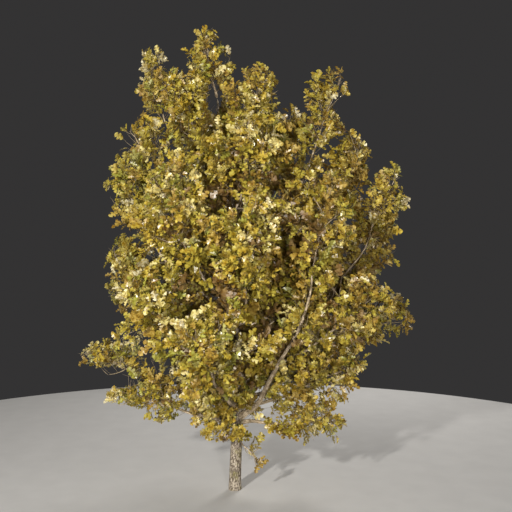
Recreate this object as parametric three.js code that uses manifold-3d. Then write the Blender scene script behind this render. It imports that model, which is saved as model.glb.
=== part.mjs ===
// A young oak in yellow autumn leaf: a slim leaning trunk, boughs that climb steeply from it, and a crown
// made of separate masses of leaf sprays on twigs, with open sky between its spires.
// Millimetres, +Z up. The origin is the middle of the flat cut at ground level. +X is the right-hand side
// of the tree as it is usually seen, and +Y runs through it to its back.
import * as THREE from 'three';
import { mergeVertices } from 'three/addons/utils/BufferGeometryUtils.js';
import Module from 'manifold-3d';

const wasm = await Module();
wasm.setup();

// Trunk: how far its axis stands to the right and to the back, and its radius, at a few heights.
const TRUNK = [
  { height: 0, right: 0, back: 0, radius: 80 },
  { height: 130, right: 2, back: 0, radius: 73 },
  { height: 600, right: 20, back: 0, radius: 67 },
  { height: 900, right: 46, back: 4, radius: 59 },
  { height: 1500, right: 36, back: 20, radius: 45 },
  { height: 2350, right: 12, back: 10, radius: 33 },
  { height: 3300, right: -14, back: -12, radius: 22 },
  { height: 4050, right: -118, back: 0, radius: 16 },
  { height: 4640, right: -212, back: 10, radius: 11 },
];
const TRUNK_SIDES = 12;
const TRUNK_STEPS = 18;
const HALVINGS = 40;

// Masses of foliage. at is the middle of the mass, to the right, to the back and up. spread is its radius
// across and tall is half its height. forks is the height on the trunk where its limb starts. A mass with a
// girth has a bough of that radius at the fork, and the others stand on the trunk by their own stem. bare is
// the least share of the limb that is bough, where it isn't BOUGH_LEAST, and out is how far out the limb bends,
// where it isn't LIMB_OUT.
const MASSES = [
  { name: 'crown_tip', at: [-310, 10, 5020], spread: 300, tall: 470, forks: 4640 },
  { name: 'spire_left', at: [-950, 240, 4830], spread: 260, tall: 540, forks: 3020, girth: 20 },
  { name: 'spire_right', at: [1040, -230, 4430], spread: 290, tall: 590, forks: 2560, girth: 25 },
  { name: 'top_right', at: [200, -90, 4540], spread: 400, tall: 450, forks: 3900 },
  { name: 'upper_left', at: [-990, -40, 3940], spread: 430, tall: 490, forks: 2660, girth: 22 },
  { name: 'upper_left_front', at: [-540, -400, 4400], spread: 400, tall: 480, forks: 3420 },
  { name: 'upper_back', at: [-190, 600, 4350], spread: 460, tall: 490, forks: 3560 },
  { name: 'upper_front', at: [130, -520, 3850], spread: 460, tall: 500, forks: 3120 },
  { name: 'upper_right', at: [1220, -60, 3730], spread: 440, tall: 570, forks: 2330, girth: 24 },
  { name: 'upper_right_back', at: [570, 360, 4110], spread: 470, tall: 530, forks: 3220 },
  { name: 'spur_right', at: [1710, -80, 3430], spread: 330, tall: 460, forks: 1160, girth: 34 },
  { name: 'left_high', at: [-1150, -80, 3400], spread: 420, tall: 480, forks: 1960, girth: 25 },
  { name: 'left_mid', at: [-1160, 0, 2530], spread: 450, tall: 540, forks: 1430, girth: 28 },
  { name: 'left_front', at: [-610, -860, 3230], spread: 500, tall: 520, forks: 2090, girth: 25 },
  { name: 'left_back', at: [-640, 880, 3280], spread: 520, tall: 530, forks: 2200, girth: 25 },
  { name: 'front', at: [180, -1060, 2960], spread: 510, tall: 520, forks: 1800, girth: 27 },
  { name: 'back', at: [130, 1100, 3000], spread: 540, tall: 540, forks: 1880, girth: 27 },
  {
    name: 'right_front', at: [900, -800, 3170], spread: 480, tall: 500, forks: 850, girth: 38,
    bare: 0.62, out: 0.8,
  },
  { name: 'right_back', at: [950, 800, 3130], spread: 510, tall: 520, forks: 1680, girth: 28 },
  { name: 'right_mid', at: [1570, 170, 2920], spread: 450, tall: 460, forks: 1420, girth: 27 },
  { name: 'right_low', at: [1640, -60, 2030], spread: 440, tall: 420, forks: 1070, girth: 28 },
  { name: 'right_low_front', at: [1280, -740, 2190], spread: 480, tall: 490, forks: 1330, girth: 27 },
  { name: 'right_low_back', at: [930, 1060, 2230], spread: 520, tall: 510, forks: 1290, girth: 28 },
  { name: 'left_low', at: [-1410, -60, 1530], spread: 460, tall: 240, forks: 1040, girth: 28 },
  { name: 'left_low_front', at: [-780, -1000, 2200], spread: 520, tall: 520, forks: 1340, girth: 28 },
  { name: 'left_low_back', at: [-800, 1040, 2180], spread: 530, tall: 520, forks: 1210, girth: 28 },
  { name: 'front_low', at: [-260, -1060, 1730], spread: 500, tall: 500, forks: 980, girth: 29 },
  { name: 'back_low', at: [60, 1180, 1760], spread: 530, tall: 520, forks: 1010, girth: 30 },
  { name: 'left_bottom', at: [-1000, -160, 1110], spread: 480, tall: 320, forks: 800, girth: 26 },
  { name: 'right_bottom', at: [1080, -100, 1400], spread: 480, tall: 420, forks: 965, girth: 25 },
  { name: 'right_skirt', at: [800, -60, 800], spread: 480, tall: 300, forks: 790, girth: 23 },
  { name: 'inner_right', at: [580, -180, 2200], spread: 430, tall: 560, forks: 1460 },
  { name: 'trunk_skirt', at: [-180, -160, 830], spread: 380, tall: 310, forks: 720 },
  { name: 'trunk_shoot', at: [205, -80, 430], spread: 150, tall: 200, forks: 600 },
];

// The heart of the crown: an ellipsoid round the trunk in which the masses fill all the space between them.
const HEART = { at: [120, 0, 2650], spread: 1420, deep: 1360, tall: 1800 };

// Limbs: each leaves the trunk outwards, then climbs to the far side of its mass. Up to where it enters the
// mass it is a bough, and from there on it is the mass's own stem.
const LIMB_OUT = 0.6;
const LIMB_UP = 0.32;
const LIMB_KNOTS = 9;
const LIMB_WANDER = 0.018;
const LIMB_ENDS_AT = 0.7;
const LIMB_TAPER = 1.8;
const LIMB_TIP = 11;
const BOUGH_LEAST = 0.34;
const ENTRY_STEP = 0.01;
const BOUGH_SIDES = 6;
const BOUGH_STEPS = 6;
const STEM_ON_TRUNK = 17;
const STEM_STEPS = 3;

// Twigs: they leave the stem round and round by the golden angle, wide at its foot and close at its tip.
const GOLDEN_ANGLE = 2.39996;
const TWIG_FIRST = 0.08;
const TWIG_LAST = 0.96;
const TWIG_ANGLE_FOOT = 1.5;
const TWIG_ANGLE_TIP = 0.5;
const TWIG_TURN_PLAY = 0.35;
const TWIG_LIFT = 0.2;
const TWIG_ROOT = 24;
const TWIG_FOOT = 9;
const TWIG_TIP = 8;
const TWIG_SHORTEST = 40;
const TWIG_LONGEST = 420;
const TWIG_SHARE = 0.4;
const TWIGS_PER_METRE = 11;
const TWIGS_LEAST = 5;

// Sprays: each is one blade, three-sided with a ridge, that stands for a bunch of leaves. A twig bends into
// one at its tip, and carries more on its sides, sunk to its middle line.
const SPRAY_SHARE = 1;
const SPRAY_MOST = 460;
const SPRAY_LEAST = 0.48;
const SPRAY_WIDTH = 0.8;
const SPRAY_WIDEST_AT = 0.55;
const SPRAY_THICKNESS = 0.03;
const SPRAY_THICKEST_AT = 0.25;
const SPRAY_TRIES = 10;
const SPRAY_TURN_PLAY = 0.7;
const SPRAY_FACE_DOWN = 0.4;
const SPRAY_FACE_UP = 0.5;
const TIP_SPRAY_ANGLE = 0.7;
const SIDE_SPRAYS = [{ along: 0.4, turn: Math.PI / 3 }, { along: 0.75, turn: -Math.PI / 3 }];
const SIDE_SPRAY_ANGLE = 0.95;

// Clearances and the seed of the growth.
const JOINT_GAP = 0.3;
const LIMB_CLEARANCE = 3;
const SPACE_GAP = 3;
const SEED = 1871;
const SEED_STEP = 7919;
const DRAW_MULTIPLIER = 48271;
const DRAW_MODULUS = 2147483647;

const UP = new THREE.Vector3(0, 0, 1);
const RIGHT = new THREE.Vector3(1, 0, 0);
const NEAR_UPRIGHT = 0.95;

// A three-sided section: its ridge and its two edges stand a third of a turn apart on a circle of radius 1.
const SECTION_SIDES = 3;
const SECTION_HALF_WIDTH = Math.cos(Math.PI / 6);
const SECTION_HEIGHT = 1.5;

const BARK = new THREE.MeshStandardMaterial({ color: 0x8d8069, roughness: 0.92, metalness: 0 });
const LEAF_TINTS = [0xa38f24, 0xb3952c, 0x97892a, 0xa97f22].map(
  (color) => new THREE.MeshStandardMaterial({ color, roughness: 0.5, metalness: 0 }),
);

// A seeded draw of numbers, the same on any machine.
class Chance {
  constructor(seed) {
    this.state = seed;
    this.next();
  }

  next() {
    this.state = (this.state * DRAW_MULTIPLIER) % DRAW_MODULUS;
    return this.state / DRAW_MODULUS;
  }

  between(low, high) {
    return low + (high - low) * this.next();
  }
}

// An ellipsoid with its axes along X, Y and Z.
class Ellipsoid {
  constructor({ at, spread, deep = spread, tall }) {
    this.centre = new THREE.Vector3(...at);
    this.radii = new THREE.Vector3(spread, deep, tall);
  }

  holds(point) {
    return point.clone().sub(this.centre).divide(this.radii).lengthSq() <= 1;
  }

  // The distance from a point inside to the skin, along a direction.
  reach(from, direction) {
    const p = from.clone().sub(this.centre).divide(this.radii);
    const d = direction.clone().divide(this.radii);
    const a = d.dot(d);
    const b = p.dot(d);
    return (Math.sqrt(Math.max(b * b - a * (p.dot(p) - 1), 0)) - b) / a;
  }
}

const heart = new Ellipsoid(HEART);

// The space of one mass: its own ellipsoid and its part of the heart, with a flat wall to each neighbour.
class Space {
  constructor(mass) {
    this.own = new Ellipsoid(mass);
    this.walls = MASSES.filter((other) => other !== mass).map((other) => wallBetween(mass, other));
  }

  holds(point) {
    if (!this.own.holds(point) && !heart.holds(point)) return false;
    return this.walls.every(({ normal, offset }) => normal.dot(point) <= offset);
  }

  // The distance from a point inside the space to its skin, along a direction.
  reach(from, direction) {
    let far = 0;
    for (const form of [this.own, heart, this.own]) {
      const start = from.clone().addScaledVector(direction, far);
      if (form.holds(start)) far += form.reach(start, direction);
    }
    for (const { normal, offset } of this.walls) {
      const closing = normal.dot(direction);
      if (closing > 0) far = Math.min(far, (offset - normal.dot(from)) / closing);
    }
    return far;
  }
}

// The flat wall that parts two masses, set nearer to the smaller one.
function wallBetween(mass, other) {
  const centre = new THREE.Vector3(...mass.at);
  const normal = new THREE.Vector3(...other.at).sub(centre);
  const apart = normal.length();
  normal.divideScalar(apart);
  const share = (apart * apart + mass.spread ** 2 - other.spread ** 2) / (2 * apart);
  return { normal, offset: normal.dot(centre) + share - SPACE_GAP };
}

// A direction at an angle from an axis, turned about that axis.
function leaning(axis, angle, turn) {
  const side = new THREE.Vector3().crossVectors(axis, Math.abs(axis.z) > NEAR_UPRIGHT ? RIGHT : UP).normalize();
  const other = new THREE.Vector3().crossVectors(axis, side);
  return axis.clone().multiplyScalar(Math.cos(angle))
    .addScaledVector(side, Math.sin(angle) * Math.cos(turn))
    .addScaledVector(other, Math.sin(angle) * Math.sin(turn));
}

function solidOf(geometry) {
  const bare = geometry.clone();
  bare.deleteAttribute('normal');
  bare.deleteAttribute('uv');
  const merged = mergeVertices(bare);
  return new wasm.Manifold(new wasm.Mesh({
    numProp: 3,
    vertProperties: merged.attributes.position.array,
    triVerts: new Uint32Array(merged.index.array),
  }));
}

function geometryOf(solid) {
  const mesh = solid.getMesh();
  const geometry = new THREE.BufferGeometry();
  geometry.setAttribute('position', new THREE.BufferAttribute(mesh.vertProperties, 3));
  geometry.setIndex(new THREE.BufferAttribute(mesh.triVerts, 1));
  geometry.computeVertexNormals();
  return geometry;
}

// A round closed taper, turned on a lathe and then bent: placeAt says where each station of it lies.
function bentTaper(radiusAt, placeAt, sides, steps) {
  const profile = [new THREE.Vector2(0, 0)];
  for (let i = 0; i <= steps; i++) profile.push(new THREE.Vector2(radiusAt(i / steps), i / steps));
  profile.push(new THREE.Vector2(0, 1));
  const geometry = new THREE.LatheGeometry(profile, sides);
  const position = geometry.attributes.position;
  for (let i = 0; i < position.count; i++) {
    const { origin, across, over } = placeAt(position.getY(i));
    const point = origin.clone()
      .addScaledVector(across, position.getX(i))
      .addScaledVector(over, position.getZ(i));
    position.setXYZ(i, point.x, point.y, point.z);
  }
  return geometry;
}

// A taper bent along a stretch of a curve, square to it all the way. The limb stands in an upright plane,
// and one side of its section keeps level across that plane, so that it doesn't twist.
function limbAlong(curve, from, to, radiusAt, sides, steps) {
  const share = (t) => THREE.MathUtils.lerp(from, to, t);
  const level = curve.getPoint(1).sub(curve.getPoint(0)).cross(UP);
  const placeAt = (t) => {
    const along = curve.getTangent(share(t));
    const across = level.clone().projectOnPlane(along).normalize();
    return { origin: curve.getPoint(share(t)), across, over: across.clone().cross(along) };
  };
  return solidOf(bentTaper((t) => radiusAt(share(t)), placeAt, sides, steps));
}

// Trunk: its stations joined by a smooth curve, and its girth by another.
const trunkAxis = new THREE.CatmullRomCurve3(
  TRUNK.map(({ height, right, back }) => new THREE.Vector3(right, back, height)), false, 'catmullrom',
);
const trunkGirth = new THREE.SplineCurve(
  TRUNK.map(({ height, radius }) => new THREE.Vector2(radius, height)),
);

// The share of the way along the trunk's stations at which its axis passes a height.
function trunkShare(height) {
  let low = 0;
  let high = 1;
  for (let i = 0; i < HALVINGS; i++) {
    const middle = (low + high) / 2;
    if (trunkAxis.getPoint(middle).z < height) low = middle;
    else high = middle;
  }
  return (low + high) / 2;
}

function trunkSolid(grown) {
  const placeAt = (t) => ({
    origin: trunkAxis.getPoint(t),
    across: RIGHT,
    over: new THREE.Vector3(0, -1, 0),
  });
  return solidOf(bentTaper((t) => trunkGirth.getPoint(t).x + grown, placeAt, TRUNK_SIDES, TRUNK_STEPS));
}

// A limb's line: out from the trunk, then up and on to the far side of its mass, with a little seeded wander.
function limbCurve(mass, space, chance) {
  const foot = trunkAxis.getPoint(trunkShare(mass.forks));
  const { centre } = space.own;
  const onward = centre.clone().sub(foot).normalize();
  const tip = centre.clone().addScaledVector(onward, LIMB_ENDS_AT * space.own.reach(centre, onward));
  const span = tip.clone().sub(foot);
  const out = mass.out ?? LIMB_OUT;
  const bend = foot.clone().add(new THREE.Vector3(span.x * out, span.y * out, span.z * LIMB_UP));
  const arc = new THREE.QuadraticBezierCurve3(foot, mass.girth ? bend : centre, tip);
  const knots = arc.getPoints(LIMB_KNOTS - 1);
  const play = span.length() * LIMB_WANDER;
  for (const knot of knots.slice(1, -1)) {
    knot.x += chance.between(-play, play);
    knot.y += chance.between(-play, play);
    knot.z += chance.between(-play, play);
  }
  return new THREE.CatmullRomCurve3(knots, false, 'catmullrom');
}

// The share of a limb at which it enters its mass for good.
function entryShare(mass, space, curve) {
  const least = mass.bare ?? BOUGH_LEAST;
  let share = 1;
  while (share > least && space.holds(curve.getPoint(share))) share -= ENTRY_STEP;
  return share;
}

// A point on the straight runs that a stem is made of.
function pointOnStem(curve, entry, t) {
  const place = (run) => curve.getPoint(THREE.MathUtils.lerp(entry, 1, run / STEM_STEPS));
  const run = Math.min(Math.floor(t * STEM_STEPS), STEM_STEPS - 1);
  return place(run).lerp(place(run + 1), t * STEM_STEPS - run);
}

// The stations of a spray: its widest place, with the ridge nearer to the root, and its tip.
function sprayStations(root, direction, length) {
  const along = (share) => root.clone().addScaledVector(direction, length * share);
  return [
    {
      at: along(SPRAY_WIDEST_AT),
      edge: length * SPRAY_WIDTH / 2 / SECTION_HALF_WIDTH,
      ridge: length * SPRAY_THICKNESS / SECTION_HEIGHT,
      ridgeAt: along(SPRAY_THICKEST_AT),
    },
    { at: along(1), edge: 0, ridge: 0, ridgeAt: along(1) },
  ];
}

// A station of a plain twig.
function twigStation(at, radius) {
  return { at, edge: radius, ridge: radius, ridgeAt: at };
}

// A three-sided body through its stations, with two edges and a ridge. Its spray faces one way.
class Blade {
  constructor(stations, direction, face) {
    this.side = new THREE.Vector3().crossVectors(direction, face).normalize();
    this.over = new THREE.Vector3().crossVectors(this.side, direction);
    const profile = stations.map(({ edge }, k) => new THREE.Vector2(edge > 0 ? 1 : 0, k));
    const geometry = new THREE.LatheGeometry(profile, SECTION_SIDES);
    const position = geometry.attributes.position;
    this.corners = [];
    for (let i = 0; i < position.count; i++) {
      const { at, edge, ridge, ridgeAt } = stations[Math.round(position.getY(i))];
      const corner = (position.getZ(i) > 0 ? ridgeAt : at).clone()
        .addScaledVector(this.side, position.getX(i) * edge)
        .addScaledVector(this.over, position.getZ(i) * ridge);
      position.setXYZ(i, corner.x, corner.y, corner.z);
      this.corners.push(corner);
    }
    this.solid = solidOf(geometry);
  }

  // A heading that leaves a line along the blade at an angle, at a turn from the ridge.
  heading(line, angle, turn) {
    return line.clone().multiplyScalar(Math.cos(angle))
      .addScaledVector(this.over, Math.sin(angle) * Math.cos(turn))
      .addScaledVector(this.side, Math.sin(angle) * Math.sin(turn))
      .normalize();
  }
}

// The twigs of one mass, as they leave its stem. One that would start outside the space is skipped.
function plannedTwigs(space, curve, entry, chance) {
  const twigs = [];
  const length = curve.getLength() * (1 - entry);
  const count = Math.max(TWIGS_LEAST, Math.round(length * TWIGS_PER_METRE / 1000));
  for (let i = 0; i < count; i++) {
    const along = THREE.MathUtils.lerp(TWIG_FIRST, TWIG_LAST, i / (count - 1));
    const angle = THREE.MathUtils.lerp(TWIG_ANGLE_FOOT, TWIG_ANGLE_TIP, along);
    const turn = i * GOLDEN_ANGLE + chance.between(-TWIG_TURN_PLAY, TWIG_TURN_PLAY);
    const foot = pointOnStem(curve, entry, along);
    const heading = curve.getTangent(THREE.MathUtils.lerp(entry, 1, along));
    const direction = leaning(heading, angle, turn).addScaledVector(UP, TWIG_LIFT).normalize();
    if (space.holds(foot)) twigs.push({ foot, direction, reach: space.reach(foot, direction) });
  }
  return twigs;
}

// The twigs and sprays of one mass. What would leave the space, or touch a limb or another spray, is skipped.
function grownMass({ mass, space, curve, entry, chance }, obstacles) {
  const longest = Math.min(SPRAY_MOST, mass.spread * SPRAY_SHARE);
  const grown = [];

  // Adds a blade that ends in a spray, unless it doesn't fit. Gives it back if it does.
  const fitted = (stations, root, direction, carrier) => {
    const length = Math.min(longest, space.reach(root, direction));
    if (length < longest * SPRAY_LEAST) return null;
    const face = root.clone().sub(space.own.centre).normalize()
      .addScaledVector(UP, chance.between(-SPRAY_FACE_DOWN, SPRAY_FACE_UP));
    face.addScaledVector(leaning(direction, Math.PI / 2, chance.between(0, 2 * Math.PI)), SPRAY_TURN_PLAY);
    const blade = new Blade([...stations, ...sprayStations(root, direction, length)], direction, face);
    if (!blade.corners.every((corner) => space.holds(corner))) return null;
    if (blade.solid.minGap(obstacles, LIMB_CLEARANCE) < LIMB_CLEARANCE) return null;
    const meets = (other) => other !== carrier && !other.solid.intersect(blade.solid).isEmpty();
    if (grown.some(meets)) return null;
    grown.push(blade);
    return blade;
  };

  const twigs = [];
  for (const { foot, direction, reach } of plannedTwigs(space, curve, entry, chance)) {
    const bare = THREE.MathUtils.clamp(reach * TWIG_SHARE, TWIG_SHORTEST, TWIG_LONGEST);
    const tip = foot.clone().addScaledVector(direction, bare);
    const stations = [
      twigStation(foot, 0),
      twigStation(foot.clone().addScaledVector(direction, TWIG_ROOT), TWIG_FOOT),
      twigStation(tip, TWIG_TIP),
    ];
    let blade = null;
    for (let i = 0; i < SPRAY_TRIES && !blade; i++) {
      const onward = leaning(direction, TIP_SPRAY_ANGLE, chance.between(0, 2 * Math.PI));
      blade = fitted(stations, tip, onward, null);
    }
    if (blade) twigs.push({ foot, direction, bare, blade });
  }
  for (const { along, turn } of SIDE_SPRAYS) {
    for (const { foot, direction, bare, blade } of twigs) {
      const heading = blade.heading(direction, SIDE_SPRAY_ANGLE, turn);
      const root = foot.clone().addScaledVector(direction, bare * along);
      let spray = null;
      for (let i = 0; i < SPRAY_TRIES && !spray; i++) {
        spray = fitted([twigStation(root, 0)], root, heading, blade);
      }
    }
  }
  return grown.map(({ solid }) => solid);
}

// Limbs and stems first, because the foliage keeps clear of all of them.
const trunk = trunkSolid(0);
const trunkWithGap = trunkSolid(JOINT_GAP);
const limbs = MASSES.map((mass, index) => {
  const chance = new Chance(SEED + SEED_STEP * (index + 1));
  const space = new Space(mass);
  const curve = limbCurve(mass, space, chance);
  const foot = mass.girth ?? STEM_ON_TRUNK;
  const radiusAt = (t) => LIMB_TIP + (foot - LIMB_TIP) * (1 - t) ** LIMB_TAPER;
  const entry = mass.girth ? entryShare(mass, space, curve) : 0;
  const gap = mass.girth ? JOINT_GAP / curve.getLength() : 0;
  const bough = mass.girth
    && limbAlong(curve, 0, entry, radiusAt, BOUGH_SIDES, BOUGH_STEPS).subtract(trunkWithGap);
  const stem = limbAlong(curve, entry + gap, 1, radiusAt, SECTION_SIDES, STEM_STEPS).subtract(trunkWithGap);
  return { mass, space, curve, entry, chance, bough, stem };
});

const tree = new THREE.Group();
const addMesh = (group, name, solid, material) => {
  const mesh = new THREE.Mesh(geometryOf(solid), material);
  mesh.name = name;
  group.add(mesh);
};

const wood = new THREE.Group();
addMesh(wood, 'trunk', trunk, BARK);
for (const { mass, bough } of limbs) {
  if (bough) addMesh(wood, `bough_${mass.name}`, bough, BARK);
}

const foliage = new THREE.Group();
limbs.forEach((limb, index) => {
  const obstacles = wasm.Manifold.compose([
    trunk,
    ...limbs.flatMap(({ bough }) => (bough ? [bough] : [])),
    ...limbs.filter((other) => other !== limb).map((other) => other.stem),
  ]);
  const pieces = grownMass(limb, obstacles);
  const fused = wasm.Manifold.union([limb.stem, ...pieces]);
  const largest = fused.decompose().reduce((a, b) => (a.volume() > b.volume() ? a : b));
  addMesh(foliage, `mass_${limb.mass.name}`, largest, LEAF_TINTS[index % LEAF_TINTS.length]);
});

tree.add(wood, foliage);

export default tree;
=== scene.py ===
"""The looks of a young oak in yellow autumn leaf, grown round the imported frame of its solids.

The trunk, the limbs and the first twigs follow the same seeded rule as the solids, in metres, +Z up.
From there the rule goes on to finer shoots and to single leaves, which stand in the place of the
masses of foliage.
"""

from __future__ import annotations

import logging
import math
from dataclasses import dataclass
from enum import Enum
from functools import cached_property
from typing import Iterator

import bpy
import numpy as np
from mathutils.kdtree import KDTree
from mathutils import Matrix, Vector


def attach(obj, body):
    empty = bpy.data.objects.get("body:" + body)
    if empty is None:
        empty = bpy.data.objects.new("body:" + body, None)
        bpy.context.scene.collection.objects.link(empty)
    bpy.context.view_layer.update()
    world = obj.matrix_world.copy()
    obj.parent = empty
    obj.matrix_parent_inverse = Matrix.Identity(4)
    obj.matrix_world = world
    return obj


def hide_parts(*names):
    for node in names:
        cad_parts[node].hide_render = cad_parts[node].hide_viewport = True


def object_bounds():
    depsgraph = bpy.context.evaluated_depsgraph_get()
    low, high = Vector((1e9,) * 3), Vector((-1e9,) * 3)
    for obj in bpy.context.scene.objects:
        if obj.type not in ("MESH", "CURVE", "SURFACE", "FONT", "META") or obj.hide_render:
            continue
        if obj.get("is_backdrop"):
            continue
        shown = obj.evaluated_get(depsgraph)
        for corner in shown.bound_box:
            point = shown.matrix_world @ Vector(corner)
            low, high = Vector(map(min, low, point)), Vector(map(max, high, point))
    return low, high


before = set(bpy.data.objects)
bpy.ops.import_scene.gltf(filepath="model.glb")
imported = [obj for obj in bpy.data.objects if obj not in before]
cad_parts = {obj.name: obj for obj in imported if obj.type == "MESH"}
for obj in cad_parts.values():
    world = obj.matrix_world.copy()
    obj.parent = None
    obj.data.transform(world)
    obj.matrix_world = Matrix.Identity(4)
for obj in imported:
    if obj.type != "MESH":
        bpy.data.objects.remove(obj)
CAD_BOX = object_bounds()

LOG = logging.getLogger("oak")

Array = np.ndarray
Colour = tuple[float, float, float]
Limits = tuple[float, float]
MeshArrays = tuple[Array, Array]
Place = tuple[float, float, float]

UP = np.array([0.0, 0.0, 1.0])
RIGHT = np.array([1.0, 0.0, 0.0])
FULL_TURN = 2 * math.pi
GOLDEN_ANGLE = 2.39996
NEAR_UPRIGHT = 0.95
TINY = 1e-9

# The seed of the growth, the same as in the solids, and the seeds of the leaves and of their tints.
SEED = 1871
SEED_STEP = 7919
LEAF_SEED = 20
TINT_SEED = 21

# The view that the tree is usually seen from: the eye's place, and a lens that takes in the whole tree.
EYE = np.array([0.25, -8.45, 2.768])
LENS_MM = 50.0
SENSOR_MM = 36.0


def unit(vectors: Array) -> Array:
    """The same directions with a length of 1."""
    return vectors / np.maximum(np.linalg.norm(vectors, axis=-1, keepdims=True), TINY)


def leaning(axis: Array, angle: Array | float, turn: Array | float) -> Array:
    """Directions that lean away from an axis.

    Args:
        axis: One unit direction, or rows of them.
        angle: How far each leans away, in radians.
        turn: How far each is turned about its axis, in radians.

    Returns:
        Unit directions in the same layout as axis.
    """
    upright = np.abs(axis[..., 2:3]) > NEAR_UPRIGHT
    side = unit(np.cross(axis, np.where(upright, RIGHT, UP)))
    other = np.cross(axis, side)
    angle, turn = np.asarray(angle)[..., None], np.asarray(turn)[..., None]
    return axis * np.cos(angle) + (side * np.cos(turn) + other * np.sin(turn)) * np.sin(angle)


def lerp(low: float, high: float, share: Array | float) -> Array | float:
    """The value at a share of the way from low to high."""
    return low + (high - low) * share


def arc(start: Array, middle: Array, end: Array, count: int) -> Array:
    """Points on a plain arc that is drawn towards its middle point.

    Args:
        start: Where the arc starts.
        middle: The point that it bends towards.
        end: Where it ends.
        count: How many points it gets.

    Returns:
        Rows of points, from start to end.
    """
    t = np.linspace(0, 1, count)[:, None]
    return start * (1 - t) ** 2 + middle * 2 * t * (1 - t) + end * t**2


def seen(points: Array) -> Array:
    """Where points show from the usual view, on the upright plane through the foot of the trunk.

    Args:
        points: Rows of points.

    Returns:
        Rows of right and up, in metres on that plane.
    """
    level = EYE[[0, 2]]
    nearness = -EYE[1] / (points[:, 1] - EYE[1])
    return level + (points[:, [0, 2]] - level) * nearness[:, None]


class Chance:
    """A seeded draw of numbers, the same on any machine."""

    MULTIPLIER = 48271
    MODULUS = 2147483647

    def __init__(self, seed: int) -> None:
        """Starts the draw from a seed and throws the first number away."""
        self.state = seed
        self.next()

    def next(self) -> float:
        """The next number, from 0 to 1."""
        self.state = self.state * self.MULTIPLIER % self.MODULUS
        return self.state / self.MODULUS

    def between(self, low: float, high: float) -> float:
        """The next number, from low to high."""
        return low + (high - low) * self.next()


@dataclass(frozen=True)
class SmoothLine:
    """A smooth open line through its knots, which may carry more than three numbers each."""

    knots: Array

    NUDGE = 1e-4
    DIVISIONS = 200

    def points(self, shares: Array) -> Array:
        """Points on the line.

        Args:
            shares: Shares of the way along the knots, from 0 to 1.

        Returns:
            One row for each share.
        """
        knots = self.knots
        padded = np.vstack([2 * knots[0] - knots[1], knots, 2 * knots[-1] - knots[-2]])
        at = np.clip(np.asarray(shares, float), 0, 1) * (len(knots) - 1)
        span = np.minimum(at.astype(int), len(knots) - 2)
        w = (at - span)[:, None]
        before, start, end, after = (padded[span + k] for k in range(4))
        leaving, arriving = (end - before) / 2, (after - start) / 2
        square = 3 * (end - start) - 2 * leaving - arriving
        cube = 2 * (start - end) + leaving + arriving
        return start + w * leaving + w**2 * square + w**3 * cube

    def point(self, share: float) -> Array:
        """The point at one share of the way."""
        return self.points(np.array([share]))[0]

    def tangent(self, share: float) -> Array:
        """The direction of the line at one share of the way.

        Args:
            share: The share, from 0 to 1.

        Returns:
            The unit direction.
        """
        low, high = max(share - self.NUDGE, 0), min(share + self.NUDGE, 1)
        start, end = self.points(np.array([low, high]))
        return unit(end - start)

    @cached_property
    def length(self) -> float:
        """The length of the line."""
        places = self.points(np.linspace(0, 1, self.DIVISIONS + 1))[:, :3]
        return float(np.linalg.norm(np.diff(places, axis=0), axis=1).sum())


@dataclass(frozen=True)
class Stretch:
    """A line of wood as close points, with its radius at each of them."""

    points: Array
    radii: Array

    SAMPLES = 121

    @cached_property
    def distances(self) -> Array:
        """The distance of each point from the first, along the line."""
        steps = np.linalg.norm(np.diff(self.points, axis=0), axis=1)
        return np.concatenate([[0.0], np.cumsum(steps)])

    @property
    def length(self) -> float:
        """The length of the line."""
        return float(self.distances[-1])

    def radius_at(self, distance: Array | float) -> Array:
        """The radius at distances along the line."""
        return np.interp(distance, self.distances, self.radii)


@dataclass
class Twig:
    """A twig or shoot: points along its line, and its radius at its foot and at its tip."""

    points: Array
    foot: float
    tip: float

    @property
    def length(self) -> float:
        """The length of the line."""
        return float(np.linalg.norm(np.diff(self.points, axis=0), axis=1).sum())


@dataclass(frozen=True)
class Mass:
    """One mass of foliage and the limb that bears it.

    Attributes:
        name: The mass's plain name.
        at: The middle of the mass.
        spread: Half its width and depth.
        tall: Half its height.
        forks: The height at which its limb leaves the trunk.
        girth: The radius of its bough at the fork, or 0 where it stands on the trunk by its own stem.
        bare: The least share of the limb that bears no twigs.
        out: The share of the way out at which the limb bends up.
        shown: The stretch of the limb, in shares, that no leaf hides from the usual view.
    """

    name: str
    at: Place
    spread: float
    tall: float
    forks: float
    girth: float = 0.0
    bare: float = 0.34
    out: float = 0.6
    shown: Limits = (0.0, 0.0)


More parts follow.
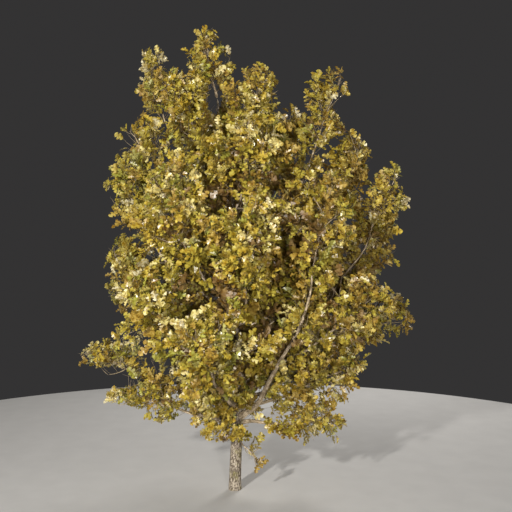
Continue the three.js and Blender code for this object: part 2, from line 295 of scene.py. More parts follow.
MASSES = [
    Mass("crown_tip", (-0.310, 0.010, 5.020), 0.300, 0.470, 4.640, shown=(0.0, 0.2)),
    Mass("spire_left", (-0.950, 0.240, 4.830), 0.260, 0.540, 3.020, 0.020),
    Mass("spire_right", (1.040, -0.230, 4.430), 0.290, 0.590, 2.560, 0.025),
    Mass("top_right", (0.200, -0.090, 4.540), 0.400, 0.450, 3.900),
    Mass("upper_left", (-0.990, -0.040, 3.940), 0.430, 0.490, 2.660, 0.022),
    Mass("upper_left_front", (-0.540, -0.400, 4.400), 0.400, 0.480, 3.420),
    Mass("upper_back", (-0.190, 0.600, 4.350), 0.460, 0.490, 3.560),
    Mass("upper_front", (0.130, -0.520, 3.850), 0.460, 0.500, 3.120),
    Mass("upper_right", (1.220, -0.060, 3.730), 0.440, 0.570, 2.330, 0.024),
    Mass("upper_right_back", (0.570, 0.360, 4.110), 0.470, 0.530, 3.220),
    Mass("spur_right", (1.710, -0.080, 3.430), 0.330, 0.460, 1.160, 0.034, shown=(0.52, 0.72)),
    Mass("left_high", (-1.150, -0.080, 3.400), 0.420, 0.480, 1.960, 0.025),
    Mass("left_mid", (-1.160, 0.000, 2.530), 0.450, 0.540, 1.430, 0.028),
    Mass("left_front", (-0.610, -0.860, 3.230), 0.500, 0.520, 2.090, 0.025),
    Mass("left_back", (-0.640, 0.880, 3.280), 0.520, 0.530, 2.200, 0.025),
    Mass("front", (0.180, -1.060, 2.960), 0.510, 0.520, 1.800, 0.027),
    Mass("back", (0.130, 1.100, 3.000), 0.540, 0.540, 1.880, 0.027),
    Mass("right_front", (0.900, -0.800, 3.170), 0.480, 0.500, 0.850, 0.038, 0.62, 0.8, (0.0, 0.7)),
    Mass("right_back", (0.950, 0.800, 3.130), 0.510, 0.520, 1.680, 0.028),
    Mass("right_mid", (1.570, 0.170, 2.920), 0.450, 0.460, 1.420, 0.027),
    Mass("right_low", (1.640, -0.060, 2.030), 0.440, 0.420, 1.070, 0.028),
    Mass("right_low_front", (1.280, -0.740, 2.190), 0.480, 0.490, 1.330, 0.027),
    Mass("right_low_back", (0.930, 1.060, 2.230), 0.520, 0.510, 1.290, 0.028),
    Mass("left_low", (-1.410, -0.060, 1.530), 0.460, 0.240, 1.040, 0.028),
    Mass("left_low_front", (-0.780, -1.000, 2.200), 0.520, 0.520, 1.340, 0.028),
    Mass("left_low_back", (-0.800, 1.040, 2.180), 0.530, 0.520, 1.210, 0.028),
    Mass("front_low", (-0.260, -1.060, 1.730), 0.500, 0.500, 0.980, 0.029),
    Mass("back_low", (0.060, 1.180, 1.760), 0.530, 0.520, 1.010, 0.030),
    Mass("left_bottom", (-1.000, -0.160, 1.110), 0.480, 0.320, 0.800, 0.026),
    Mass("right_bottom", (1.080, -0.100, 1.400), 0.480, 0.420, 0.965, 0.025),
    Mass("right_skirt", (0.800, -0.060, 0.800), 0.480, 0.300, 0.790, 0.023, shown=(0.0, 0.22)),
    Mass("inner_right", (0.580, -0.180, 2.200), 0.430, 0.560, 1.460),
    Mass("trunk_skirt", (-0.180, -0.160, 0.830), 0.380, 0.310, 0.720),
    Mass("trunk_shoot", (0.205, -0.080, 0.430), 0.150, 0.200, 0.600),
]


@dataclass(frozen=True)
class Opening:
    """A place where the crown is open, as seen from the usual view.

    It goes right through, so that sky shows, or as far back as a depth, so that the crown's dark inside
    shows.

    Attributes:
        right: How far right its middle is, on the plane of the trunk.
        up: How high its middle is.
        wide: Half its width.
        tall: Half its height.
        depth: How far back it goes.
    """

    right: float
    up: float
    wide: float
    tall: float
    depth: float = math.inf

    def holds(self, points: Array) -> Array:
        """Tells which points lie in the opening.

        Args:
            points: Rows of points.

        Returns:
            True for each point in the opening.
        """
        places = seen(points)
        across = (places[:, 0] - self.right) / self.wide
        upward = (places[:, 1] - self.up) / self.tall
        return (across**2 + upward**2 < 1) & (points[:, 1] < self.depth)


OPENINGS = [
    # Gaps in the upper crown.
    Opening(-0.240, 4.600, 0.100, 0.170),
    Opening(-0.810, 4.440, 0.060, 0.080),
    Opening(1.130, 4.080, 0.050, 0.050),
    Opening(1.040, 3.770, 0.060, 0.055),
    Opening(1.620, 3.740, 0.060, 0.130),
    Opening(0.830, 3.660, 0.060, 0.045),
    # Gaps in the middle of the crown.
    Opening(1.000, 3.330, 0.050, 0.045),
    Opening(-0.800, 3.260, 0.070, 0.035),
    Opening(1.150, 3.180, 0.065, 0.060),
    Opening(1.370, 3.170, 0.055, 0.055),
    Opening(1.520, 2.850, 0.065, 0.090),
    Opening(-1.020, 2.740, 0.055, 0.060),
    Opening(-0.870, 2.470, 0.070, 0.060),
    # Gaps in the low crown.
    Opening(1.700, 2.200, 0.100, 0.050),
    Opening(-0.860, 1.770, 0.040, 0.035),
    Opening(0.280, 1.120, 0.065, 0.100),
    Opening(0.370, 1.000, 0.090, 0.090),
    # Notches between the spires.
    Opening(-0.540, 5.310, 0.090, 0.110),
    Opening(-0.010, 5.150, 0.070, 0.090),
    Opening(-0.735, 5.100, 0.055, 0.120),
    Opening(-0.140, 5.080, 0.060, 0.060),
    Opening(1.290, 4.540, 0.140, 0.150),
    Opening(0.640, 4.420, 0.050, 0.080),
    # Notches in the left side.
    Opening(-1.260, 4.150, 0.080, 0.140),
    Opening(-1.490, 3.410, 0.060, 0.080),
    Opening(-1.540, 2.270, 0.110, 0.060),
    Opening(-1.660, 1.850, 0.080, 0.070),
    Opening(-1.480, 1.370, 0.240, 0.100),
    Opening(-1.340, 1.270, 0.190, 0.085),
    Opening(-1.360, 0.900, 0.300, 0.130),
    # Notches in the right side.
    Opening(2.030, 3.650, 0.080, 0.140),
    Opening(1.950, 2.800, 0.100, 0.070),
    # Notches in the skirt.
    Opening(-0.480, 0.700, 0.130, 0.060),
    Opening(1.260, 0.650, 0.070, 0.080),
    Opening(1.010, 0.560, 0.150, 0.090),
    Opening(-0.130, 0.530, 0.070, 0.050),
    Opening(0.870, 0.490, 0.090, 0.060),
    # A look into the crown's inside.
    Opening(0.060, 3.330, 0.060, 0.150, -0.10),
]


@dataclass(frozen=True)
class Ellipsoid:
    """An ellipsoid with its axes along X, Y and Z."""

    centre: Array
    radii: Array

    def depth(self, points: Array) -> Array:
        """How far out points lie: 0 at the centre, 1 on the skin and more outside."""
        return np.linalg.norm((points - self.centre) / self.radii, axis=-1)

    def reach(self, start: Array, direction: Array) -> float:
        """The way out from a point inside.

        Args:
            start: The point.
            direction: The unit direction of the way.

        Returns:
            The distance to the skin.
        """
        p, d = (start - self.centre) / self.radii, direction / self.radii
        a, b = d @ d, p @ d
        return (math.sqrt(max(b * b - a * (p @ p - 1), 0)) - b) / a


# The heart of the crown, which all the masses share between them.
HEART = Ellipsoid(np.array([0.120, 0.0, 2.650]), np.array([1.420, 1.360, 1.800]))

# The middles and half sizes of all the masses, as rows.
CENTRES = np.array([mass.at for mass in MASSES])
RADII = np.array([(mass.spread, mass.spread, mass.tall) for mass in MASSES])


def in_crown(point: Array) -> bool:
    """Tells whether a point lies in the heart of the crown or in any of its masses."""
    in_mass = np.linalg.norm((point - CENTRES) / RADII, axis=1) < 1
    return HEART.depth(point) < 1 or bool(in_mass.any())


class Space:
    """The space of one mass: its own ellipsoid and its part of the heart, with a wall to each neighbour."""

    GAP = 0.003

    def __init__(self, mass: Mass) -> None:
        """Sets up the ellipsoid and the walls.

        Args:
            mass: The mass.
        """
        centre = np.array(mass.at)
        self.own = Ellipsoid(centre, np.array([mass.spread, mass.spread, mass.tall]))
        others = [other for other in MASSES if other is not mass]
        toward = np.array([other.at for other in others]) - centre
        apart = np.linalg.norm(toward, axis=1)
        spreads = np.array([other.spread for other in others])
        self.normals = toward / apart[:, None]
        share = (apart**2 + mass.spread**2 - spreads**2) / (2 * apart)
        self.offsets = self.normals @ centre + share - self.GAP

    def holds(self, point: Array) -> bool:
        """Tells whether a point lies in the space.

        Args:
            point: The point.

        Returns:
            True if it lies in the ellipsoid or the heart, and behind every wall.
        """
        if self.own.depth(point) > 1 and HEART.depth(point) > 1:
            return False
        return bool((self.normals @ point <= self.offsets).all())

    def reach(self, start: Array, direction: Array) -> float:
        """The way out from a point in the space.

        Args:
            start: The point.
            direction: The unit direction of the way.

        Returns:
            The distance to the skin or to the first wall.
        """
        far = 0.0
        for form in (self.own, HEART, self.own):
            place = start + direction * far
            if form.depth(place) <= 1:
                far += form.reach(place, direction)
        closing = self.normals @ direction
        room = self.offsets - self.normals @ start
        ahead = closing > 0
        return float(min(far, (room[ahead] / closing[ahead]).min(initial=far)))


@dataclass(frozen=True)
class SideGrowth:
    """How side growth leaves the line that bears it, round and round by the golden angle.

    Attributes:
        first: The share of the line at which it starts.
        last: The share at which it ends.
        per_metre: How many there are in a metre.
        least: How many there are on the shortest line.
        angle_foot: The angle from the line at its foot, in radians.
        angle_tip: The angle from the line at its tip.
        turn_play: How far each may be turned out of its place.
        lift: How much it is lifted towards the light.
    """

    first: float
    last: float
    per_metre: float
    least: int
    angle_foot: float
    angle_tip: float
    turn_play: float
    lift: float

    def starts(self, length: float, chance: Chance) -> Iterator[tuple[float, float, float]]:
        """Places along a line of some length.

        Args:
            length: The length of the line that bears the growth.
            chance: The draw that turns each start a little.

        Yields:
            The share along the line, the angle from it and the turn about it.
        """
        # A half is rounded up, as in the solids.
        count = max(self.least, math.floor(length * self.per_metre + 0.5))
        for i in range(count):
            along = lerp(self.first, self.last, i / (count - 1))
            angle = lerp(self.angle_foot, self.angle_tip, along)
            yield along, angle, i * GOLDEN_ANGLE + chance.between(-self.turn_play, self.turn_play)

    def heading(self, tangent: Array, angle: float, turn: float) -> Array:
        """The direction in which a start leaves the line."""
        return unit(leaning(tangent, angle, turn) + UP * self.lift)


TWIG_RULE = SideGrowth(
    first=0.08, last=0.96, per_metre=11, least=5, angle_foot=1.5, angle_tip=0.5, turn_play=0.35, lift=0.2
)
SHOOT_RULE = SideGrowth(
    first=0.10, last=0.98, per_metre=26, least=4, angle_foot=1.25, angle_tip=0.55, turn_play=0.6, lift=0.25
)
BARE_RULE = SideGrowth(
    first=0.08, last=1.0, per_metre=28, least=2, angle_foot=1.35, angle_tip=0.9, turn_play=0.8, lift=0.3
)
TRUNK_RULE = SideGrowth(
    first=0.0, last=1.0, per_metre=55, least=2, angle_foot=1.25, angle_tip=0.9, turn_play=0.8, lift=0.2
)


@dataclass(frozen=True)
class Trunk:
    """The trunk, as stations up its axis: how far right and back each is, its height and its radius."""

    stations: tuple[tuple[float, float, float, float], ...] = (
        (0.000, 0.000, 0.000, 0.080),
        (0.002, 0.000, 0.130, 0.073),
        (0.020, 0.000, 0.600, 0.067),
        (0.046, 0.004, 0.900, 0.059),
        (0.036, 0.020, 1.500, 0.045),
        (0.012, 0.010, 2.350, 0.033),
        (-0.014, -0.012, 3.300, 0.022),
        (-0.118, 0.000, 4.050, 0.016),
        (-0.212, 0.010, 4.640, 0.011),
    )

    HALVINGS = 40

    @cached_property
    def line(self) -> SmoothLine:
        """The smooth line through the stations."""
        return SmoothLine(np.array(self.stations))

    def foot_of(self, height: float) -> Array:
        """Finds the axis at a height, by halving.

        Args:
            height: The height above the ground.

        Returns:
            The point of the axis there.
        """
        low, high = 0.0, 1.0
        for _ in range(self.HALVINGS):
            middle = (low + high) / 2
            if self.line.point(middle)[2] < height:
                low = middle
            else:
                high = middle
        return self.line.point((low + high) / 2)[:3]

    def stretch(self) -> Stretch:
        """The trunk's line and girth."""
        along = self.line.points(np.linspace(0, 1, Stretch.SAMPLES))
        return Stretch(along[:, :3], along[:, 3])


@dataclass
class Limb:
    """A limb: out from the trunk, then up and on to the far side of its mass, with a little seeded wander.

    Up to the share at which it enters its mass it is bare, and from there on it bears twigs.

    Attributes:
        mass: The mass that the limb bears.
        index: The mass's place in the table, which sets the seed.
        trunk: The trunk that the limb forks from.
        upward: The share of the way up at which the limb bends.
        wander: How far it strays, as a share of its length.
        ends_at: How far from the middle of the mass to its skin the limb goes on.
        taper: How soon it thins.
        tip_radius: The radius of its tip in the solids.
        fine_tip_radius: The radius of its tip here.
        stem_radius: The radius at the foot of a stem that stands on the trunk.
        stem_spread: The spread under which a mass has a thinner stem.
    """

    mass: Mass
    index: int
    trunk: Trunk
    upward: float = 0.32
    wander: float = 0.018
    ends_at: float = 0.7
    taper: float = 1.8
    tip_radius: float = 0.011
    fine_tip_radius: float = 0.004
    stem_radius: float = 0.017
    stem_spread: float = 0.35

    KNOTS = 9
    ENTRY_STEP = 0.01

    def __post_init__(self) -> None:
        """Draws the limb's line and finds where it enters its mass."""
        self.chance = Chance(SEED + SEED_STEP * (self.index + 1))
        self.space = Space(self.mass)
        self.line = self._line(self.trunk.foot_of(self.mass.forks))
        self.entry = self._entry() if self.mass.girth else 0.0

    def _line(self, foot: Array) -> SmoothLine:
        """Draws the limb's line.

        Args:
            foot: Where it leaves the trunk's axis.

        Returns:
            The line from there to its tip.
        """
        own = self.space.own
        onward = unit(own.centre - foot)
        tip = own.centre + onward * self.ends_at * own.reach(own.centre, onward)
        span = tip - foot
        bend = foot + span * np.array([self.mass.out, self.mass.out, self.upward])
        knots = arc(foot, bend if self.mass.girth else own.centre, tip, self.KNOTS)
        play = np.linalg.norm(span) * self.wander
        for knot in knots[1:-1]:
            knot += [self.chance.between(-play, play) for _ in range(3)]
        return SmoothLine(knots)

    def _entry(self) -> float:
        """Goes back from the limb's tip as far as it keeps to its mass.

        Returns:
            The share of the limb at which it enters its mass for good.
        """
        share = 1.0
        while share > self.mass.bare and self.space.holds(self.line.point(share)):
            share -= self.ENTRY_STEP
        return share

    def radius(self, shares: Array) -> Array:
        """The limb's girth: the solids' taper, drawn out to a finer tip.

        Args:
            shares: Shares of its length.

        Returns:
            The radius at each of them.
        """
        foot = self.mass.girth or self.stem_radius * min(1, self.mass.spread / self.stem_spread)
        tip = min(self.tip_radius, foot)
        plain = tip + (foot - tip) * (1 - shares) ** self.taper
        return plain - (tip - self.fine_tip_radius) * shares**2

    def stretch(self) -> Stretch:
        """The limb's line and girth."""
        shares = np.linspace(0, 1, Stretch.SAMPLES)
        return Stretch(self.line.points(shares), self.radius(shares))


@dataclass
class Growth:
    """The finer growth: twigs on the limbs and shoots on the twigs, each within the space of its mass.

    Attributes:
        limbs: The limbs, in the order of the masses.
        trunk: The trunk.
        twig_fills: How much of the way to the skin a twig fills, at least and at most.
        twig_most: The longest twig.
        twig_least: The shortest twig.
        twig_bend: How far a twig bends, in radians.
        twig_foot: The radius of a twig at its foot.
        twig_tip: The radius of a twig at its tip.
        shoot_fills: How much of the way to the skin a shoot may fill.
        shoot_long: The length of a shoot at the foot of its twig.
        shoot_short: The length of a shoot at the tip of its twig.
        shoot_play: How much of that length a shoot has, at least and at most.
        shoot_least: The shortest shoot.
        shoot_rise: How much a shoot turns up.
        shoot_foot: The radius of a shoot at its foot.
        shoot_tip: The radius of a shoot at its tip.
        bare_shoot: The length of a shoot on bare wood, at least and at most.
        trunk_shoots: The heights between which the trunk has shoots.
    """

    limbs: list[Limb]
    trunk: Trunk
    twig_fills: Limits = (0.66, 1.0)
    twig_most: float = 0.88
    twig_least: float = 0.06
    twig_bend: float = 0.55
    twig_foot: float = 0.0062
    twig_tip: float = 0.0022
    shoot_fills: float = 0.9
    shoot_long: float = 0.34
    shoot_short: float = 0.16
    shoot_play: Limits = (0.6, 1.0)
    shoot_least: float = 0.035
    shoot_rise: float = 0.5
    shoot_foot: float = 0.0026
    shoot_tip: float = 0.0013
    bare_shoot: Limits = (0.12, 0.38)
    trunk_shoots: Limits = (0.56, 1.40)

    TWIG_POINTS = 7
    SHOOT_POINTS = 4
    TRIES = 10

    def __post_init__(self) -> None:
        """Grows the twigs and the shoots of all the limbs, and the short shoots on bare wood."""
        self.twigs: list[Twig] = []
        self.shoots: list[Twig] = []
        self.owners: list[int] = []
        self.bearers: list[int | None] = []
        for index, limb in enumerate(self.limbs):
            for twig in self._twigs_of(limb):
                self.twigs.append(twig)
                for shoot in self._shoots_of(twig, limb):
                    self._keep(shoot, index, len(self.twigs) - 1)
            for shoot in self._shoots_on(limb.line, BARE_RULE, limb.chance):
                self._keep(shoot, index)
        self._grow_on_trunk()

    def _grow_on_trunk(self) -> None:
        """Grows the short shoots on the trunk, which count with the skirt round it."""
        heights = np.linspace(*self.trunk_shoots, self.TWIG_POINTS)
        stem = SmoothLine(np.array([self.trunk.foot_of(height) for height in heights]))
        skirt = [limb.mass.name for limb in self.limbs].index("trunk_skirt")
        for shoot in self._shoots_on(stem, TRUNK_RULE, self.limbs[skirt].chance):
            self._keep(shoot, skirt)

    def _keep(self, shoot: Twig, owner: int, bearer: int | None = None) -> None:
        """Adds a shoot.

        Args:
            shoot: The shoot.
            owner: The number of the mass that it counts with.
            bearer: The number of the twig that bears it, if one does.
        """
        self.shoots.append(shoot)
        self.owners.append(owner)
        self.bearers.append(bearer)

    @staticmethod
    def _bent(start: Array, first: Array, second: Array, length: float, count: int) -> Array:
        """Points on an arc that leaves in one direction and ends in another.

        Args:
            start: Where the arc starts.
            first: The unit direction that it leaves in.
            second: The unit direction that it ends in.
            length: About its length.
            count: How many points it gets.

        Returns:
            The points, from start to tip.
        """
        middle = start + first * length / 2
        return arc(start, middle, middle + second * length / 2, count)

    def _shoot(self, foot: Array, heading: Array, length: float) -> Twig:
        """A shoot that turns up from its heading.

        Args:
            foot: Where it stands.
            heading: The unit direction that it leaves in.
            length: About its length.

        Returns:
            The shoot.
        """
        ending = unit(heading + UP * self.shoot_rise)
        points = self._bent(foot, heading, ending, length, self.SHOOT_POINTS)
        return Twig(points, self.shoot_foot, self.shoot_tip)

    def _shoots_on(self, line: SmoothLine, rule: SideGrowth, chance: Chance) -> list[Twig]:
        """The short shoots that stand on bare wood, as far as they keep to the crown.

        Args:
            line: The wood's line.
            rule: How the shoots leave it.
            chance: The draw that they follow.

        Returns:
            The shoots.
        """
        grown = []
        for along, angle, turn in rule.starts(line.length, chance):
            heading = rule.heading(line.tangent(along), angle, turn)
            shoot = self._shoot(line.point(along), heading, chance.between(*self.bare_shoot))
            if in_crown(shoot.points[-1]):
                grown.append(shoot)
        return grown

    def _twigs_of(self, limb: Limb) -> list[Twig]:
        """The twigs of one limb, as the solids have them, each drawn out to the skin of the space.

        Args:
            limb: The limb.

        Returns:
            Its twigs, and last the one that its tip ends in.
        """
        plans = []
        bearing = limb.line.length * (1 - limb.entry)
        for along, angle, turn in TWIG_RULE.starts(bearing, limb.chance):
            share = lerp(limb.entry, 1, along)
            foot = limb.line.point(share)
            heading = TWIG_RULE.heading(limb.line.tangent(share), angle, turn)
            if limb.space.holds(foot):
                plans.append((foot, heading))
        plans.append((limb.line.point(1), limb.line.tangent(1)))
        grown = []
        for foot, heading in plans:
            fills = limb.chance.between(*self.twig_fills)
            length = min(limb.space.reach(foot, heading) * fills, self.twig_most)
            if length < self.twig_least:
                continue
            for _ in range(self.TRIES):
                ending = leaning(heading, self.twig_bend, limb.chance.between(0, FULL_TURN))
                points = self._bent(foot, heading, ending, length, self.TWIG_POINTS)
                if limb.space.holds(points[-1]):
                    break
            else:
                points = self._bent(foot, heading, heading, length, self.TWIG_POINTS)
            grown.append(Twig(points, self.twig_foot, self.twig_tip))
        return grown

    def _shoots_of(self, twig: Twig, limb: Limb) -> list[Twig]:
        """The shoots of one twig.

        Args:
            twig: The twig.
            limb: The limb that bears it.

        Returns:
            Its shoots, and last the one that its tip ends in.
        """
        line = SmoothLine(twig.points)
        starts = [
            (line.point(along), SHOOT_RULE.heading(line.tangent(along), angle, turn), along)
            for along, angle, turn in SHOOT_RULE.starts(twig.length, limb.chance)
        ]
        starts.append((twig.points[-1], line.tangent(1), 1.0))
        grown = []
        for foot, heading, along in starts:
            most = lerp(self.shoot_long, self.shoot_short, along) * limb.chance.between(*self.shoot_play)
            length = min(limb.space.reach(foot, heading) * self.shoot_fills, most)
            if length >= self.shoot_least:
                grown.append(self._shoot(foot, heading, length))
        return grown


@dataclass(frozen=True)
class LeafShape:
    """The outline of an oak leaf one unit long.

    Attributes:
        midrib: The places along the midrib that have a point, one level with each notch.
        lobes: Half of the outline, from the foot of the blade to its tip: each lobe runs from one notch to
            the next, in points of across and along.
        stalk_length: The length of the stalk.
        stalk_half_width: Half its width at its foot.
    """

    midrib: tuple[float, ...] = (0.0, 0.30, 0.62, 1.0)
    lobes: tuple[tuple[Limits, ...], ...] = (
        ((0.16, 0.07), (0.26, 0.21), (0.05, 0.30)),
        ((0.34, 0.38), (0.38, 0.55), (0.08, 0.63)),
        ((0.29, 0.76), (0.15, 0.95)),
    )
    stalk_length: float = 0.12
    stalk_half_width: float = 0.011

    def flat(self) -> MeshArrays:
        """The leaf laid flat.

        Returns:
            Rows of across and along, and rows of three point numbers for each triangle, facing up.
        """
        points = [(0.0, along) for along in self.midrib]
        triangles: list[tuple[int, int, int]] = []
        for side in (1, -1):
            notch = 0
            for number, lobe in enumerate(self.lobes):
                rim = [notch]
                for across, along in lobe:
                    rim.append(len(points))
                    points.append((side * across, along))
                last = number == len(self.lobes) - 1
                hub = number if last else number + 1
                if last:
                    rim.append(len(self.midrib) - 1)
                elif number:
                    triangles.append((number, notch, hub)[::side])
                triangles += [(hub, a, b)[::side] for a, b in zip(rim, rim[1:]) if hub not in (a, b)]
                notch = rim[-1]
        stalk = len(points)
        half, low = self.stalk_half_width, -self.stalk_length
        points += [(-half, low), (half, low)]
        triangles.append((stalk, stalk + 1, 0))
        return np.array(points), np.array(triangles)


@dataclass
class Leaves:
    """All the leaves of the crown as arrays, one row for each leaf.

    Attributes:
        growth: The twigs and the shoots.
        limbs: The limbs, in the order of the masses.
        wood: The trunk and the limbs as stretches.
        first_at: The share of a shoot at which its leaves start.
        crowding: Under 1, the leaves stand closer towards the shoot's tip.
        angle_foot: A leaf's angle from its shoot at the foot, in radians.
        angle_tip: A leaf's angle from its shoot at the tip.
        angle_play: How far that angle may be off.
        turn_play: How far a leaf may be turned out of its place about the shoot.
        droop: How much a leaf hangs, at least and at most.
        face_up: How much a leaf faces up.
        face_out: How much it faces away from the trunk.
        face_on: How much it faces along its shoot.
        face_play: How far its face strays.
        sizes: The length of a leaf, at least and at most.
        small_ones: Over 1, more of the leaves are small.
        first_leaf: The size of a shoot's first leaf, as a share of its last one's.
        folds: How much a leaf folds up along its midrib, at least and at most.
        curls: How much its tip curls down.
        waves: How much its rim waves.
        wave_count: How fast the rim waves along the leaf.
        inner_from: How far past the skin a leaf has a plainer outline, less than 0 being inside.
        past_skin: How far past the skin a spray ends, at least and at most.
        proud_of_solids: How far the tips may stand out of the solids' box.
        pointed: Under 2, the masses are pointed above.
        limb_clearance: How far the middle of a leaf stays from the bark.
        shown_half_width: How far leaves stand aside from a limb that shows.
        ground_clearance: How far leaves stay above the ground.
    """

    growth: Growth
    limbs: list[Limb]
    wood: list[Stretch]
    first_at: float = 0.22
    crowding: float = 0.75
    angle_foot: float = 1.25
    angle_tip: float = 0.4
    angle_play: float = 0.25
    turn_play: float = 0.5
    droop: Limits = (0.0, 0.45)
    face_up: float = 0.55
    face_out: float = 0.75
    face_on: float = 0.3
    face_play: float = 0.65
    sizes: Limits = (0.058, 0.136)
    small_ones: float = 1.5
    first_leaf: float = 0.75
    folds: Limits = (0.05, 0.60)
    curls: Limits = (-0.12, 0.40)
    waves: Limits = (-0.10, 0.10)
    wave_count: float = 7.0
    inner_from: float = -0.30
    past_skin: Limits = (-0.09, 0.10)
    proud_of_solids: float = 0.05
    pointed: float = 1.4
    limb_clearance: float = 0.012
    shown_half_width: float = 0.045
    ground_clearance: float = 0.10

    PER_SHOOT = 12
    FEWEST = 9
    ROWS = ("spray", "mass", "base", "heading", "face", "length", "fold", "curl", "wave", "past")

    def __post_init__(self) -> None:
        """Sets the leaves on the shoots and takes out those that don't fit."""
        self.draw = np.random.default_rng(LEAF_SEED)
        lines = np.array([shoot.points for shoot in self.growth.shoots])
        self._place(lines)
        self.spray = np.repeat(np.arange(len(lines)), self.PER_SHOOT)
        self.mass = np.repeat(np.array(self.growth.owners), self.PER_SHOOT)
        self.past = self._past_crown()
        kept = self._some_of_each() & self._within() & self._clear_of_wood() & self._in_the_open()
        for name in self.ROWS:
            setattr(self, name, getattr(self, name)[kept])

    def _place(self, lines: Array) -> None:
        """Gives each leaf its place, heading, face and shape.

        Args:
            lines: The points of each shoot, in an array of shoot, point and axis.
        """
        shoots, count = len(lines), self.PER_SHOOT
        shape = (shoots, count)
        order = np.arange(count) / (count - 1)
        at = (self.first_at + (1 - self.first_at) * order**self.crowding) * (lines.shape[1] - 1)
        span = np.minimum(at.astype(int), lines.shape[1] - 2)
        w = (at - span)[None, :, None]
        axis = unit(lines[:, span + 1] - lines[:, span])
        base = lines[:, span] * (1 - w) + lines[:, span + 1] * w
        turn = np.arange(count) * GOLDEN_ANGLE + self.draw.uniform(0, FULL_TURN, (shoots, 1))
        turn = turn + self.draw.uniform(-self.turn_play, self.turn_play, shape)
        angle = self.angle_foot + (self.angle_tip - self.angle_foot) * order
        angle = angle + self.draw.uniform(-self.angle_play, self.angle_play, shape)
        droop = self.draw.uniform(*self.droop, shape)[..., None]
        heading = unit(leaning(axis, angle, turn) - UP * droop)
        outward = base - HEART.centre
        outward[..., 2] = 0
        face = UP * self.face_up + unit(outward) * self.face_out + axis * self.face_on
        face = face + self.draw.normal(0, self.face_play, (*shape, 3))
        face = unit(face - heading * (face * heading).sum(-1, keepdims=True))
        self.base, self.heading, self.face = (x.reshape(-1, 3) for x in (base, heading, face))
        size = lerp(*self.sizes, self.draw.random(shape) ** self.small_ones)
        self.length = (size * (self.first_leaf + (1 - self.first_leaf) * order)).ravel()
        self.fold, self.curl, self.wave = (
            self.draw.uniform(*limits, shape).ravel() for limits in (self.folds, self.curls, self.waves)
        )

    @property
    def middles(self) -> Array:
        """The middle of each leaf."""
        return self.base + self.heading * self.length[:, None] / 2

    @property
    def tips(self) -> Array:
        """The tip of each leaf."""
        return self.base + self.heading * self.length[:, None]

    def _past_crown(self) -> Array:
        """Measures how far the leaves stand out.

        Returns:
            About how far the tip of each leaf lies outside the crown's skin, and less than 0 inside it.
        """
        tips = self.tips
        past = (HEART.depth(tips) - 1) * HEART.radii.min()
        for centre, size in zip(CENTRES, RADII):
            past = np.minimum(past, self._past_mass(tips, centre, size))
        return past

    def _past_mass(self, points: Array, centre: Array, size: Array) -> Array:
        """Measures how far points lie outside a mass, which is rounded below and pointed above.

        Args:
            points: Rows of points.
            centre: The middle of the mass.
            size: Its half sizes.

        Returns:
            About the distance of each point from the skin, and less than 0 inside it.
        """
        offset = (points - centre) / size
        power = np.where(offset[:, 2] > 0, self.pointed, 2)
        level = np.hypot(offset[:, 0], offset[:, 1])
        depth = (level**power + np.abs(offset[:, 2]) ** power) ** (1 / power)
        return (depth - 1) * size.min()

    def _some_of_each(self) -> Array:
        """Takes some leaves off each shoot.

        Returns:
            True for each leaf that stays.
        """
        shoots = len(self.length) // self.PER_SHOOT
        missing = self.draw.integers(0, self.PER_SHOOT - self.FEWEST + 1, shoots)
        return np.tile(np.arange(self.PER_SHOOT), shoots) >= np.repeat(missing, self.PER_SHOOT)

    def _within(self) -> Array:
        """Finds the leaves that keep to the crown's reach, where each spray ends a little sooner or later.

        Returns:
            True for each leaf that does.
        """
        tips = self.tips
        ragged = self.draw.uniform(*self.past_skin, self.spray.max() + 1)
        low, high = (np.array(corner) for corner in CAD_BOX)
        in_box = (tips > low - self.proud_of_solids) & (tips < high + self.proud_of_solids)
        off_ground = np.minimum(tips[:, 2], self.base[:, 2]) > self.ground_clearance
        return (self.past < ragged[self.spray]) & in_box.all(axis=1) & off_ground

    def _clear_of_wood(self) -> Array:
        """Finds the leaves that stay clear of the trunk and the limbs.

        Returns:
            True for each leaf that does.
        """
        points = np.concatenate([stretch.points for stretch in self.wood])
        radii = np.concatenate([stretch.radii for stretch in self.wood])
        tree = KDTree(len(points))
        for number, point in enumerate(points):
            tree.insert(point, number)
        tree.balance()
        clear = np.ones(len(self.length), bool)
        for row, middle in enumerate(self.middles):
            _, number, distance = tree.find(middle)
            clear[row] = distance > radii[number] + self.limb_clearance
        return clear

    def _in_the_open(self) -> Array:
        """Finds the leaves that neither close an opening nor hide a limb that shows.

        Returns:
            True for each leaf that does neither.
        """
        middles = self.middles
        places = seen(middles)
        kept = np.ones(len(places), bool)
        for opening in OPENINGS:
            kept &= ~opening.holds(middles)
        for limb in self.limbs:
            start, end = limb.mass.shown
            if end <= start:
                continue
            points = limb.line.points(np.linspace(start, end, Stretch.SAMPLES))
            apart = np.linalg.norm(places[:, None] - seen(points)[None], axis=2)
            nearest = apart.argmin(axis=1)
            hides = middles[:, 1] < points[nearest, 1]
            kept &= ~(hides & (apart.min(axis=1) < self.shown_half_width))
        return kept

